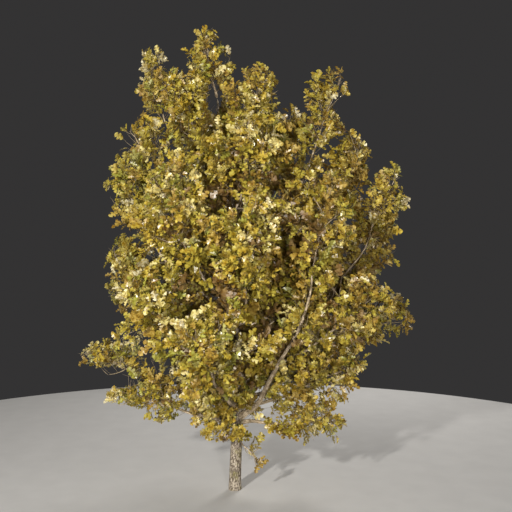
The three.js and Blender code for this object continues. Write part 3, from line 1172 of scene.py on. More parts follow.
    def mesh_arrays(self, chosen: Array, shape: LeafShape) -> MeshArrays:
        """The joined mesh of some of the leaves.

        Args:
            chosen: The numbers of the leaves.
            shape: The outline that they all share.

        Returns:
            Rows of points and rows of three point numbers for each triangle.
        """
        flat, triangles = shape.flat()
        across, along = flat[None, :, 0], flat[None, :, 1]
        fold, curl, wave = (x[chosen][:, None] for x in (self.fold, self.curl, self.wave))
        rise = fold * np.abs(across) - curl * np.maximum(along, 0) ** 2
        rise = rise + wave * np.abs(across) * np.sin(self.wave_count * along + fold * self.wave_count)
        side = np.cross(self.heading[chosen], self.face[chosen])
        length = self.length[chosen][:, None, None]
        points = self.base[chosen][:, None] + length * (
            across[..., None] * side[:, None]
            + (along + shape.stalk_length)[..., None] * self.heading[chosen][:, None]
            + rise[..., None] * self.face[chosen][:, None]
        )
        steps = np.arange(len(chosen))[:, None, None] * len(flat)
        return points.reshape(-1, 3), (triangles[None] + steps).reshape(-1, 3)


def tubes(lines: Array, foot: Array, tip: Array, sides: int) -> MeshArrays:
    """Joined tapering tubes, closed at both ends.

    Args:
        lines: The points of each tube, in an array of tube, point and axis.
        foot: The radius of each tube at its first point.
        tip: The radius that each tube tapers to at its last point, which is drawn in to a peak.
        sides: How many sides the tubes have.

    Returns:
        Rows of points and rows of three point numbers for each triangle.
    """
    count, stations = lines.shape[:2]
    tangent = unit(np.gradient(lines, axis=1))
    upright = np.abs(tangent[:, :1, 2:3]) > NEAR_UPRIGHT
    across = unit(np.cross(tangent, np.where(upright, RIGHT, UP)))
    over = np.cross(tangent, across)
    turns = FULL_TURN * np.arange(sides) / sides
    ring = across[..., None, :] * np.cos(turns)[:, None] + over[..., None, :] * np.sin(turns)[:, None]
    shares = np.linspace(0, 1, stations)
    radii = foot[:, None] + (tip - foot)[:, None] * shares
    rings = (lines[:, :, None] + ring * radii[..., None, None])[:, :-1].reshape(count, -1, 3)
    points = np.concatenate([rings, lines[:, -1:]], axis=1)
    a = np.arange(sides)
    b = (a + 1) % sides
    triangles = [np.stack([np.full(sides - 2, 0), a[2:], a[1:-1]], axis=1)]
    for station in range(stations - 2):
        low, high = station * sides, (station + 1) * sides
        triangles.append(np.stack([low + a, low + b, high + b], axis=1))
        triangles.append(np.stack([low + a, high + b, high + a], axis=1))
    last, peak = (stations - 2) * sides, (stations - 1) * sides
    triangles.append(np.stack([last + a, last + b, np.full(sides, peak)], axis=1))
    steps = np.arange(count)[:, None, None] * points.shape[1]
    return points.reshape(-1, 3), (np.concatenate(triangles)[None] + steps).reshape(-1, 3)


def joined(parts: list[MeshArrays]) -> MeshArrays:
    """Several meshes as one.

    Args:
        parts: The points and triangles of each mesh.

    Returns:
        The points and triangles of all of them.
    """
    steps = np.cumsum([0] + [len(points) for points, _ in parts[:-1]])
    points = np.concatenate([points for points, _ in parts])
    return points, np.concatenate([triangles + step for (_, triangles), step in zip(parts, steps)])


def object_from(name: str, points: Array, triangles: Array, smooth: bool) -> bpy.types.Object:
    """A new object from arrays, at the origin.

    Args:
        name: The name of the object and its mesh.
        points: Rows of points.
        triangles: Rows of three point numbers.
        smooth: Whether its faces are shaded as one smooth surface.

    Returns:
        The object, linked to the scene.
    """
    mesh = bpy.data.meshes.new(name)
    mesh.vertices.add(len(points))
    mesh.vertices.foreach_set("co", points.astype(np.float32).ravel())
    mesh.loops.add(triangles.size)
    mesh.loops.foreach_set("vertex_index", triangles.astype(np.int32).ravel())
    mesh.polygons.add(len(triangles))
    mesh.polygons.foreach_set("loop_start", np.arange(0, triangles.size, 3, dtype=np.int32))
    mesh.polygons.foreach_set("use_smooth", np.full(len(triangles), smooth))
    mesh.update(calc_edges=True)
    mesh.validate()
    obj = bpy.data.objects.new(name, mesh)
    bpy.context.scene.collection.objects.link(obj)
    return obj


def positions(mesh: bpy.types.Mesh) -> Array:
    """Reads the points of a mesh.

    Args:
        mesh: The mesh.

    Returns:
        Rows of points.
    """
    flat = np.empty(len(mesh.vertices) * 3, np.float32)
    mesh.vertices.foreach_get("co", flat)
    return flat.reshape(-1, 3)


def store(mesh: bpy.types.Mesh, name: str, values: Array) -> None:
    """Keeps one number or one vector for each point of a mesh, for its material to read.

    Args:
        mesh: The mesh.
        name: The attribute's name.
        values: A row of numbers, or rows of vectors.
    """
    kind, key = ("FLOAT", "value") if values.ndim == 1 else ("FLOAT_VECTOR", "vector")
    attribute = mesh.attributes.new(name, kind, "POINT")
    attribute.data.foreach_set(key, values.astype(np.float32).ravel())


def select_only(obj: bpy.types.Object) -> None:
    """Selects one object, for the operators to act on.

    Args:
        obj: The object.
    """
    bpy.ops.object.select_all(action="DESELECT")
    obj.select_set(True)
    bpy.context.view_layer.objects.active = obj


def add_modifier(obj: bpy.types.Object, kind: str, **settings: object) -> None:
    """Adds a modifier to an object and applies it.

    Args:
        obj: The object.
        kind: The modifier's type.
        **settings: Its properties.
    """
    select_only(obj)
    modifier = obj.modifiers.new(kind.lower(), kind)
    for key, value in settings.items():
        setattr(modifier, key, value)
    bpy.ops.object.modifier_apply(modifier=modifier.name)


def cut_level(obj: bpy.types.Object, height: float) -> None:
    """Cuts an object off level and closes the cut.

    Args:
        obj: The object.
        height: The height below which all is taken away.
    """
    select_only(obj)
    bpy.ops.object.mode_set(mode="EDIT")
    bpy.ops.mesh.select_all(action="SELECT")
    bpy.ops.mesh.bisect(plane_co=(0, 0, height), plane_no=(0, 0, 1), use_fill=True, clear_inner=True)
    bpy.ops.object.mode_set(mode="OBJECT")


# What the meshes with bark carry for each point: its place before bending, and how high it stands.
REST = "bark_rest"
RELIEF = "bark_relief"


@dataclass(frozen=True)
class BarkRelief:
    """The relief of bark.

    Attributes:
        plate_depth: The depth of the fissures between the plates.
        plate_size: The width of a plate.
        stretch: How much taller than wide the plates are.
        lump_depth: The depth of the slow unevenness.
        lump_size: The size of its lumps.
    """

    plate_depth: float
    plate_size: float
    stretch: float
    lump_depth: float
    lump_size: float


@dataclass(frozen=True)
class BarkPiece:
    """A trunk or limb as a mesh with bark relief: a straight taper, roughened, then bent along its line.

    Attributes:
        name: The name of the object.
        stretch: Its line and girth.
        sides: How many sides the taper has before it is refined.
        step: About the distance between the rings of the taper.
        refinement: How many times it is subdivided.
        relief: The relief of its bark.
        collar: How much wider it is where it leaves the wood that bears it, as a share.
        sunk: How far inside that wood it starts.
        below: How far it goes on below its foot, for a level cut.
        collar_reach: How far along the piece the collar fades.
    """

    name: str
    stretch: Stretch
    sides: int
    step: float
    refinement: int
    relief: BarkRelief
    collar: float = 0.0
    sunk: float = 0.0
    below: float = 0.0
    collar_reach: float = 0.045

    FEWEST_RINGS = 4
    MID_LEVEL = 0.4
    RELIEF_PERCENTILES = (2, 98)
    DEPTH_GROUP = "bark_depth"

    def build(self) -> bpy.types.Object:
        """Models the piece.

        Returns:
            The finished mesh object at the origin.
        """
        obj = self._taper()
        add_modifier(obj, "SUBSURF", levels=self.refinement, render_levels=self.refinement)
        self._roughen(obj)
        self._bend(obj)
        obj.data.shade_smooth()
        return obj

    def _girth(self, distance: float) -> float:
        """The radius at a distance along the piece, with its collar."""
        swell = self.collar * math.exp(-max(distance - self.sunk, 0) / self.collar_reach)
        return float(self.stretch.radius_at(distance)) * (1 + swell)

    def _taper(self) -> bpy.types.Object:
        """Draws the straight taper up, ring by ring, from a round face.

        Returns:
            The taper, which stands on the origin.
        """
        # Subdividing draws a ring in by the inverse of this.
        widening = 3 / (2 + math.cos(FULL_TURN / self.sides))
        rings = max(self.FEWEST_RINGS, math.ceil(self.stretch.length / self.step))
        heights = np.linspace(-self.below, self.stretch.length, rings + 1)
        bpy.ops.object.select_all(action="DESELECT")
        bpy.ops.mesh.primitive_circle_add(
            vertices=self.sides, radius=self._girth(0) * widening, fill_type="NGON",
            location=(0, 0, -self.below),
        )
        obj = bpy.context.object
        obj.name = obj.data.name = self.name
        bpy.ops.object.transform_apply(location=True, rotation=False, scale=False)
        bpy.ops.object.mode_set(mode="EDIT")
        for below, height in zip(heights, heights[1:]):
            bpy.ops.mesh.extrude_region_move(TRANSFORM_OT_translate={"value": (0, 0, height - below)})
            ratio = self._girth(height) / self._girth(below)
            bpy.ops.transform.resize(value=(ratio, ratio, 1), center_override=(0, 0, height))
        bpy.ops.mesh.select_all(action="SELECT")
        bpy.ops.mesh.normals_make_consistent(inside=False)
        bpy.ops.object.mode_set(mode="OBJECT")
        return obj

    def _roughen(self, obj: bpy.types.Object) -> None:
        """Raises the plates and lumps, deeper where the wood is thicker, and keeps the rest and the relief.

        Args:
            obj: The straight piece.
        """
        rest = positions(obj.data)
        girth = np.hypot(rest[:, 0], rest[:, 1])
        depth = obj.vertex_groups.new(name=self.DEPTH_GROUP)
        for number, share in enumerate(girth / max(girth.max(), TINY)):
            depth.add([number], float(share), "REPLACE")
        plates = bpy.data.textures.new(self.name + "_plates", "VORONOI")
        plates.noise_scale = self.relief.plate_size
        # The second nearest seed less the nearest: 0 in the fissures, and high inside the plates.
        plates.weight_1, plates.weight_2 = -1, 1
        lumps = bpy.data.textures.new(self.name + "_lumps", "CLOUDS")
        lumps.noise_scale = self.relief.lump_size
        guide = bpy.data.objects.new(self.name + "_guide", None)
        guide.scale = (1, 1, self.relief.stretch)
        bpy.context.scene.collection.objects.link(guide)
        bpy.context.view_layer.update()
        heights = []
        for texture, strength in ((plates, self.relief.plate_depth), (lumps, self.relief.lump_depth)):
            add_modifier(
                obj, "DISPLACE", texture=texture, texture_coords="OBJECT", texture_coords_object=guide,
                strength=strength, mid_level=self.MID_LEVEL, vertex_group=self.DEPTH_GROUP,
            )
            bpy.data.textures.remove(texture)
            rough = positions(obj.data)
            heights.append(np.hypot(rough[:, 0], rough[:, 1]) - girth)
        bpy.data.objects.remove(guide)
        height = heights[0] / np.maximum(girth, TINY)
        low, high = np.percentile(height, self.RELIEF_PERCENTILES)
        store(obj.data, REST, rest)
        store(obj.data, RELIEF, np.clip((height - low) / max(high - low, TINY), 0, 1))
        obj.vertex_groups.clear()

    def _bend(self, obj: bpy.types.Object) -> None:
        """Bends the straight piece along its line.

        Args:
            obj: The straight piece.
        """
        curve = bpy.data.curves.new(self.name + "_line", "CURVE")
        curve.dimensions = "3D"
        spline = curve.splines.new("POLY")
        spline.points.add(len(self.stretch.points) - 1)
        flat = np.column_stack([self.stretch.points, np.ones(len(self.stretch.points))])
        spline.points.foreach_set("co", flat.astype(np.float32).ravel())
        guide = bpy.data.objects.new(self.name + "_line", curve)
        bpy.context.scene.collection.objects.link(guide)
        add_modifier(obj, "CURVE", object=guide, deform_axis="POS_Z")
        bpy.data.objects.remove(guide)
        bpy.data.curves.remove(curve)


class Blend(Enum):
    """How two colours mix: by shares, or one times the other."""

    SHARES = "MIX"
    TIMES = "MULTIPLY"


class Operation(Enum):
    """How two numbers combine: the greater of them, one less the other, or one times the other."""

    GREATER = "MAXIMUM"
    LESS = "SUBTRACT"
    TIMES = "MULTIPLY"


@dataclass(frozen=True)
class Ramp:
    """A value that goes from low to high as its input goes from start to end."""

    start: float
    end: float
    low: float = 0.0
    high: float = 1.0


@dataclass(frozen=True)
class Noise:
    """A soft noise: how many lumps it has in a metre, how many finer layers, and how strong those are."""

    scale: float
    detail: float = 2.0
    roughness: float = 0.5


class NodeSheet:
    """A node tree that is being drawn up."""

    # The sockets of a mix of colours, which share their names with those of other kinds of mix.
    MIX_SHARE, MIX_FIRST, MIX_SECOND = 0, 6, 7
    MIX_RESULT = 2

    def __init__(self, tree: bpy.types.NodeTree) -> None:
        """Starts on a tree."""
        self.tree = tree

    def add(
        self, kind: str, inputs: dict[str | int, object] | None = None, **settings: object
    ) -> bpy.types.Node:
        """Adds a node.

        Args:
            kind: The node's type.
            inputs: What goes into its inputs: an output of another node, or a plain value.
            **settings: The node's properties.

        Returns:
            The node.
        """
        node = self.tree.nodes.new(kind)
        for key, value in settings.items():
            setattr(node, key, value)
        for key, value in (inputs or {}).items():
            if isinstance(value, bpy.types.NodeSocket):
                self.tree.links.new(value, node.inputs[key])
            else:
                node.inputs[key].default_value = value
        return node

    def mix(
        self, share: object, first: object, second: object, blend: Blend = Blend.SHARES
    ) -> bpy.types.NodeSocket:
        """A mix of two colours.

        Args:
            share: The share of the second, as an output or a number.
            first: The first colour.
            second: The second colour.
            blend: How they mix.

        Returns:
            The mixed colour.
        """
        inputs = {self.MIX_SHARE: share, self.MIX_FIRST: first, self.MIX_SECOND: second}
        node = self.add("ShaderNodeMix", inputs, data_type="RGBA", blend_type=blend.value)
        return node.outputs[self.MIX_RESULT]

    def toned(self, colour: object, tone: object) -> bpy.types.NodeSocket:
        """A colour times a tone."""
        return self.mix(1.0, colour, tone, Blend.TIMES)

    def combined(self, operation: Operation, first: object, second: object) -> bpy.types.NodeSocket:
        """Two numbers combined into one."""
        node = self.add("ShaderNodeMath", {0: first, 1: second}, operation=operation.value)
        return node.outputs["Value"]

    def ramp(self, value: object, ramp: Ramp) -> bpy.types.NodeSocket:
        """A value put through a ramp.

        Args:
            value: The input.
            ramp: What it gives.

        Returns:
            The new value.
        """
        inputs = {
            "Value": value, "From Min": ramp.start, "From Max": ramp.end,
            "To Min": ramp.low, "To Max": ramp.high,
        }
        return self.add("ShaderNodeMapRange", inputs, clamp=True).outputs["Result"]

    def noise(self, place: object, noise: Noise) -> bpy.types.NodeSocket:
        """A noise, read at a place.

        Args:
            place: Where it is read.
            noise: Its kind.

        Returns:
            A value from 0 to 1.
        """
        inputs = {
            "Vector": place, "Scale": noise.scale, "Detail": noise.detail, "Roughness": noise.roughness,
        }
        return self.add("ShaderNodeTexNoise", inputs).outputs["Fac"]

    def surface(self, inputs: dict[str | int, object]) -> None:
        """Ends a material's sheet in its shader, with what goes into the shader's inputs."""
        shader = self.add("ShaderNodeBsdfPrincipled", inputs)
        self.add("ShaderNodeOutputMaterial", {"Surface": shader.outputs["BSDF"]})

    def bump(self, height: object, strength: float, distance: float) -> bpy.types.NodeSocket:
        """The normals of a fine relief.

        Args:
            height: Its height.
            strength: How strong it is.
            distance: How deep it is.

        Returns:
            The normals.
        """
        inputs = {"Strength": strength, "Distance": distance, "Height": height}
        return self.add("ShaderNodeBump", inputs).outputs["Normal"]


class Socket(Enum):
    """The kinds of socket that a group has."""

    COLOUR = "NodeSocketColor"
    NUMBER = "NodeSocketFloat"
    VECTOR = "NodeSocketVector"


def new_group(
    name: str, inputs: dict[str, Socket], outputs: dict[str, Socket]
) -> tuple[NodeSheet, dict[str, bpy.types.NodeSocket]]:
    """A new shader node group.

    Args:
        name: The group's name.
        inputs: The kind of each input, by name.
        outputs: The kind of each output, by name.

    Returns:
        Its sheet, and its input sockets by name.
    """
    tree = bpy.data.node_groups.new(name, "ShaderNodeTree")
    for label, kind in inputs.items():
        tree.interface.new_socket(label, in_out="INPUT", socket_type=kind.value)
    for label, kind in outputs.items():
        tree.interface.new_socket(label, in_out="OUTPUT", socket_type=kind.value)
    sheet = NodeSheet(tree)
    given = sheet.add("NodeGroupInput").outputs
    return sheet, {label: given[label] for label in inputs}


def rgba(colour: Colour) -> tuple[float, float, float, float]:
    """A colour with full alpha."""
    return (*colour, 1.0)


# What both the bark's pattern and the leaves' tone put out.
LOOK = {"Colour": Socket.COLOUR, "Roughness": Socket.NUMBER, "Height": Socket.NUMBER}


@dataclass(frozen=True)
class BarkEffect:
    """Bark's own pattern: pale plates, dark fissures between them, blotches, flecks and a film of lichen.

    Attributes:
        grain: How the fine pattern is drawn out along the wood.
        fine: The fine grain of the plates.
        flecks: The dark flecks.
        blotches: The weathered blotches.
        lichen: The patches of lichen.
        fissure_dark: How dark a low place of the relief is.
        fleck_dark: How dark a fleck is.
        blotch_dark: How dark a blotch is.
        plate_tone: How light the fine grain makes a plate.
        lichen_film: How much a patch of lichen covers.
        dullness: The roughness that the fine grain gives.
    """

    grain: Place = (1.0, 1.0, 0.3)
    fine: Noise = Noise(95.0, 6, 0.65)
    flecks: Noise = Noise(60.0, 4, 0.6)
    blotches: Noise = Noise(9.0, 3)
    lichen: Noise = Noise(5.0, 5, 0.7)
    fissure_dark: Ramp = Ramp(0.42, 0.14, 0, 0.95)
    fleck_dark: Ramp = Ramp(0.54, 0.62, 0, 0.85)
    blotch_dark: Ramp = Ramp(0.48, 0.62, 0, 0.5)
    plate_tone: Ramp = Ramp(0.3, 0.75, 0.72, 1.2)
    lichen_film: Ramp = Ramp(0.5, 0.66)
    dullness: Ramp = Ramp(0.2, 0.8, 0.95, 0.75)

    def group(self) -> bpy.types.NodeTree:
        """Draws up the group.

        Returns:
            The node group.
        """
        inputs = {
            "Rest": Socket.VECTOR, "Relief": Socket.NUMBER, "Plate": Socket.COLOUR,
            "Fissure": Socket.COLOUR, "Lichen": Socket.COLOUR, "Lichen Share": Socket.NUMBER,
        }
        sheet, given = new_group("bark_pattern", inputs, LOOK)
        rest, fissure = given["Rest"], given["Fissure"]
        along = sheet.add("ShaderNodeMapping", {"Vector": rest, "Scale": self.grain}).outputs["Vector"]
        fine = sheet.noise(along, self.fine)
        groove = sheet.ramp(given["Relief"], self.fissure_dark)
        fleck = sheet.ramp(sheet.noise(along, self.flecks), self.fleck_dark)
        blotch = sheet.ramp(sheet.noise(rest, self.blotches), self.blotch_dark)
        film = sheet.ramp(sheet.noise(rest, self.lichen), self.lichen_film)
        dark = sheet.combined(Operation.GREATER, groove, fleck)
        plate = sheet.toned(given["Plate"], sheet.ramp(fine, self.plate_tone))
        bare = sheet.mix(dark, sheet.mix(blotch, plate, fissure), fissure)
        covered = sheet.combined(Operation.TIMES, film, given["Lichen Share"])
        sheet.add("NodeGroupOutput", {
            "Colour": sheet.mix(covered, bare, given["Lichen"]),
            "Roughness": sheet.ramp(fine, self.dullness),
            "Height": sheet.combined(Operation.LESS, fine, dark),
        })
        return sheet.tree


@dataclass(frozen=True)
class LeafEffect:
    """What makes the leaves of one tint differ: shaded and pale places, specks, and a changing gloss.

    Attributes:
        shade: What the tint is multiplied by where it is brownest.
        light: What the tint is multiplied by where it is palest.
        cream: The colour that is mixed into the palest places.
        cream_share: How much of it.
        tone: The change from shade to light.
        specks: The fine specks and creases.
        gloss: The change of gloss.
        tone_reach: How fast the tone goes from shade to light.
        speck_share: How much of a speck's colour shows.
        roughness: The roughness that the change of gloss gives.
    """

    shade: Colour = (0.54, 0.40, 0.04)
    light: Colour = (1.36, 1.44, 2.20)
    cream: Colour = (0.76, 0.71, 0.50)
    cream_share: float = 0.10
    tone: Noise = Noise(24.0)
    specks: Noise = Noise(85.0, 4, 0.6)
    gloss: Noise = Noise(30.0)
    tone_reach: Ramp = Ramp(0.3, 0.7)
    speck_share: Ramp = Ramp(0.6, 0.72, 0, 0.6)
    roughness: Ramp = Ramp(0.3, 0.7, 0.26, 0.44)

    def group(self) -> bpy.types.NodeTree:
        """Draws up the group.

        Returns:
            The node group.
        """
        sheet, given = new_group("leaf_tone", {"Tint": Socket.COLOUR, "Speck": Socket.COLOUR}, LOOK)
        place = sheet.add("ShaderNodeTexCoord").outputs["Object"]
        fine = sheet.noise(place, self.specks)
        shade = sheet.toned(given["Tint"], rgba(self.shade))
        light = sheet.toned(given["Tint"], rgba(self.light))
        light = sheet.mix(self.cream_share, light, rgba(self.cream))
        tone = sheet.mix(sheet.ramp(sheet.noise(place, self.tone), self.tone_reach), shade, light)
        sheet.add("NodeGroupOutput", {
            "Colour": sheet.mix(sheet.ramp(fine, self.speck_share), tone, given["Speck"]),
            "Roughness": sheet.ramp(sheet.noise(place, self.gloss), self.roughness),
            "Height": fine,
        })
        return sheet.tree


def new_material(name: str) -> tuple[bpy.types.Material, NodeSheet]:
    """A material with an empty sheet of nodes.

    Args:
        name: The material's name.

    Returns:
        The material and its sheet.
    """
    material = bpy.data.materials.new(name)
    material.use_nodes = True
    material.node_tree.nodes.clear()
    return material, NodeSheet(material.node_tree)


@dataclass(frozen=True)
class BarkFinish:
    """Bark of one kind of wood.

    Attributes:
        name: The material's name.
        plate: The colour of the plates.
        fissure: The colour of the fissures and flecks.
        lichen: The colour of the lichen.
        lichen_share: How much of it shows.
        bump: How strong the fine relief is.
        bump_distance: How deep it is.
    """

    name: str
    plate: Colour
    fissure: Colour
    lichen: Colour
    lichen_share: float
    bump: float
    bump_distance: float = 0.003

    def material(self, effect: bpy.types.NodeTree) -> bpy.types.Material:
        """Draws up the material.

        Args:
            effect: The bark pattern.

        Returns:
            The material.
        """
        material, sheet = new_material(self.name)
        bark = sheet.add("ShaderNodeGroup", {
            "Rest": sheet.add("ShaderNodeAttribute", attribute_name=REST).outputs["Vector"],
            "Relief": sheet.add("ShaderNodeAttribute", attribute_name=RELIEF).outputs["Fac"],
            "Plate": rgba(self.plate),
            "Fissure": rgba(self.fissure),
            "Lichen": rgba(self.lichen),
            "Lichen Share": self.lichen_share,
        }, node_tree=effect).outputs
        sheet.surface({
            "Base Color": bark["Colour"],
            "Roughness": bark["Roughness"],
            "Normal": sheet.bump(bark["Height"], self.bump, self.bump_distance),
        })
        return material


@dataclass(frozen=True)
class LeafFinish:
    """Leaves of one autumn tint, with a paler underside.

    Attributes:
        upper: The colour of the upper side.
        under: The colour of the underside.
        share: Its share of the sprays.
        warmth_and_painted_side_light: How much more of it the right side of the crown has, less than 0
            giving more on the left; darker, warmer tints on the right paint shade there, and paler ones on
            the left paint light.
        painted_inner_shade: How much more of it the inside of the crown has, where darker tints paint the
            shade of the crown's inside.
        speck: The colour of its specks.
        gloss: The strength of its gloss.
        bump: How strong its fine relief is.
        bump_distance: How deep that is.
    """

    upper: Colour
    under: Colour
    share: float
    warmth_and_painted_side_light: float
    painted_inner_shade: float
    speck: Colour = (0.16, 0.075, 0.02)
    gloss: float = 0.85
    bump: float = 0.35
    bump_distance: float = 0.002

    def weight(self, side: Array, depth: Array) -> Array:
        """Its share of the sprays, by how far right and how deep in the crown they are, which paints light
        and shade into the tints.
        """
        return self.share * np.exp(self.warmth_and_painted_side_light * side + self.painted_inner_shade * depth)

    def material(self, name: str, effect: bpy.types.NodeTree) -> bpy.types.Material:
        """Draws up the material.

        Args:
            name: The material's name.
            effect: The leaf's change of tone.

        Returns:
            The material.
        """
        material, sheet = new_material(name)
        behind = sheet.add("ShaderNodeNewGeometry").outputs["Backfacing"]
        leaf = sheet.add("ShaderNodeGroup", {
            "Tint": sheet.mix(behind, rgba(self.upper), rgba(self.under)),
            "Speck": rgba(self.speck),
        }, node_tree=effect).outputs
        sheet.surface({
            "Base Color": leaf["Colour"],
            "Roughness": leaf["Roughness"],
            "Normal": sheet.bump(leaf["Height"], self.bump, self.bump_distance),
            "Specular IOR Level": self.gloss,
        })
        return material


class Tint(Enum):
    """The autumn tints of the leaves, each with its finish."""

    # The last two numbers of each finish weight it by side and depth: paler tints on the left and the skin
    # paint light, darker ones on the right and inside paint shade.
    GOLD = LeafFinish((0.43, 0.312, 0.012), (0.48, 0.370, 0.05), 0.29, 0.1, 0.0)
    OLIVE = LeafFinish((0.37, 0.298, 0.012), (0.42, 0.348, 0.05), 0.36, -0.2, 0.0)
    # Pale straw leaves, dealt more to the skin and the left of the crown, where they also paint cream
    # highlights.
    STRAW_AND_PAINTED_HIGHLIGHT = LeafFinish((0.58, 0.495, 0.130), (0.64, 0.57, 0.26), 0.14, -0.5, -1.5)
    OCHRE = LeafFinish((0.32, 0.205, 0.010), (0.37, 0.26, 0.04), 0.15, 0.5, 0.6)
    # A dark russet, dealt mostly to the crown's inside as painted shade.
    PAINTED_SHADE_RUSSET = LeafFinish((0.17, 0.090, 0.008), (0.21, 0.125, 0.02), 0.016, 0.3, 3.3)
    MOSS = LeafFinish((0.27, 0.260, 0.012), (0.34, 0.32, 0.06), 0.08, -0.6, 0.0)

    @property
    def label(self) -> str:
        """The tint's name in lower case."""
        return self.name.lower()


class Slot(Enum):
    """The record's names for the finishes."""

    BARK = "bark"
    FOLIAGE = "foliage"


@dataclass
class Oak:
    """The whole tree: a trunk and limbs with bark, joined twigs, and joined leaves of each tint.

    Attributes:
        trunk_relief: The relief of the trunk's bark.
        limb_relief: The relief of the limbs' bark.
        trunk_bark: The finish of the trunk.
        limb_bark: The finish of the limbs, painted paler than real bark as painted light on the boughs that
            the leaves shade.
        twig_bark: The finish of the twigs and shoots.
        trunk_step: About the distance between the rings of the trunk.
        trunk_below: How far the trunk goes on below the ground, before its level cut.
        limb_step: About the distance between the rings of a limb.
        limb_collar: How much wider a limb is where it leaves the trunk, as a share.
        twig_relief: The relief that a twig's bark counts as, from 0 to 1.
        outer_leaf: The outline of the leaves.
        inner_leaf: The plainer outline of those inside the crown.
        shaded_at: How far inside the skin the tints are those of the crown's inside, which paint its shade.
    """

    trunk_relief: BarkRelief = BarkRelief(
        plate_depth=0.008, plate_size=0.021, stretch=1.7, lump_depth=0.007, lump_size=0.11
    )
    limb_relief: BarkRelief = BarkRelief(
        plate_depth=0.0035, plate_size=0.015, stretch=2.2, lump_depth=0.004, lump_size=0.10
    )
    trunk_bark: BarkFinish = BarkFinish(
        "trunk_bark", plate=(0.55, 0.475, 0.37), fissure=(0.075, 0.050, 0.032), lichen=(0.36, 0.33, 0.10),
        lichen_share=0.60, bump=0.8,
    )
    # The limbs' plates and fissures are paler than real bark: painted light on boughs that the leaves
    # shade.
    limb_bark: BarkFinish = BarkFinish(
        "limb_bark", plate=(0.78, 0.64, 0.45), fissure=(0.32, 0.24, 0.15), lichen=(0.46, 0.40, 0.15),
        lichen_share=0.2, bump=0.4,
    )
    twig_bark: BarkFinish = BarkFinish(
        "twig_bark", plate=(0.43, 0.34, 0.22), fissure=(0.18, 0.13, 0.08), lichen=(0.34, 0.29, 0.11),
        lichen_share=0.2, bump=0.3,
    )
    trunk_step: float = 0.11
    trunk_below: float = 0.22
    limb_step: float = 0.10
    limb_collar: float = 0.45
    twig_relief: float = 0.75
    outer_leaf: LeafShape = LeafShape()
    inner_leaf: LeafShape = LeafShape(
        midrib=(0.0, 0.42, 1.0),
        lobes=(((0.28, 0.22), (0.09, 0.42)), ((0.38, 0.58), (0.22, 0.88))),
    )
    shaded_at: float = 0.45

    TRUNK_SIDES = 12
    TRUNK_REFINEMENT = 3
    LIMB_SIDES = 6
    LIMB_REFINEMENT = 2
    TWIG_SIDES = 5
    SHOOT_SIDES = 3
    LEAVES_TOGETHER = 7000

    def __post_init__(self) -> None:
        """Grows the tree as lines and leaves, with no mesh yet."""
        self.trunk = Trunk()
        self.limbs = [Limb(mass, index, self.trunk) for index, mass in enumerate(MASSES)]
        self.growth = Growth(self.limbs, self.trunk)
        self.trunk_stretch = self.trunk.stretch()
        self.limb_stretches = [limb.stretch() for limb in self.limbs]
        self.leaves = Leaves(self.growth, self.limbs, [self.trunk_stretch, *self.limb_stretches])
        self.mass_nodes = [f"mass_{mass.name}" for mass in MASSES]

    def build(self) -> None:
        """Makes every piece of the tree and dresses it."""
        bark = BarkEffect().group()
        self._build_trunk(bark)
        self._build_limbs(bark)
        self._build_twigs(bark)
        self._build_leaves(LeafEffect().group())

    def _finish(
        self, obj: bpy.types.Object, material: bpy.types.Material, nodes: list[str]
    ) -> None:
        """Dresses a piece, fixes it to the frame and reports it.

        Args:
            obj: The piece.
            material: Its finish.
            nodes: The nodes that it stands for.
        """
        obj.data.materials.clear()
        obj.data.materials.append(material)
        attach(obj, "root")
        if nodes:
            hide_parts(*nodes)
        LOG.info("%s: %d triangles", obj.name, sum(len(face.vertices) - 2 for face in obj.data.polygons))

    def _build_trunk(self, bark: bpy.types.NodeTree) -> None:
        """Makes the trunk, cut off level at the ground.

        Args:
            bark: The bark pattern.
        """
        trunk = BarkPiece(
            "trunk_bark", self.trunk_stretch, self.TRUNK_SIDES, self.trunk_step, self.TRUNK_REFINEMENT,
            self.trunk_relief, below=self.trunk_below,
        ).build()
        cut_level(trunk, 0.0)
        self._finish(trunk, self.trunk_bark.material(bark), ["trunk"])

    def _build_limbs(self, bark: bpy.types.NodeTree) -> None:
        """Makes the limbs, each from the trunk's axis to its fine tip.

        Args:
            bark: The bark pattern.
        """
        finish = self.limb_bark.material(bark)
        heights, radii = self.trunk_stretch.points[:, 2], self.trunk_stretch.radii
        for limb, stretch in zip(self.limbs, self.limb_stretches):
            mass = limb.mass
            piece = BarkPiece(
                f"limb_{mass.name}", stretch, self.LIMB_SIDES, self.limb_step, self.LIMB_REFINEMENT,
                self.limb_relief, self.limb_collar, sunk=float(np.interp(mass.forks, heights, radii)),
            ).build()
            self._finish(piece, finish, [f"bough_{mass.name}"] if mass.girth else [])

    def _build_twigs(self, bark: bpy.types.NodeTree) -> None:
        """Makes the shoots that bear leaves and the twigs that bear those, joined.

        Args:
            bark: The bark pattern.
        """
        growth = self.growth
        leafy = np.unique(self.leaves.spray)
        bearers = sorted({growth.bearers[k] for k in leafy} - {None})
        twigs = [growth.twigs[k] for k in bearers]
        shoots = [growth.shoots[k] for k in leafy]
        parts = []
        for some, sides in ((twigs, self.TWIG_SIDES), (shoots, self.SHOOT_SIDES)):
            lines = np.array([twig.points for twig in some])
            foot = np.array([twig.foot for twig in some])
            tip = np.array([twig.tip for twig in some])
            parts.append(tubes(lines, foot, tip, sides))
        piece = object_from("twigs", *joined(parts), smooth=True)
        rest = positions(piece.data)
        store(piece.data, REST, rest)
        store(piece.data, RELIEF, np.full(len(rest), self.twig_relief))
        self._finish(piece, self.twig_bark.material(bark), self.mass_nodes)

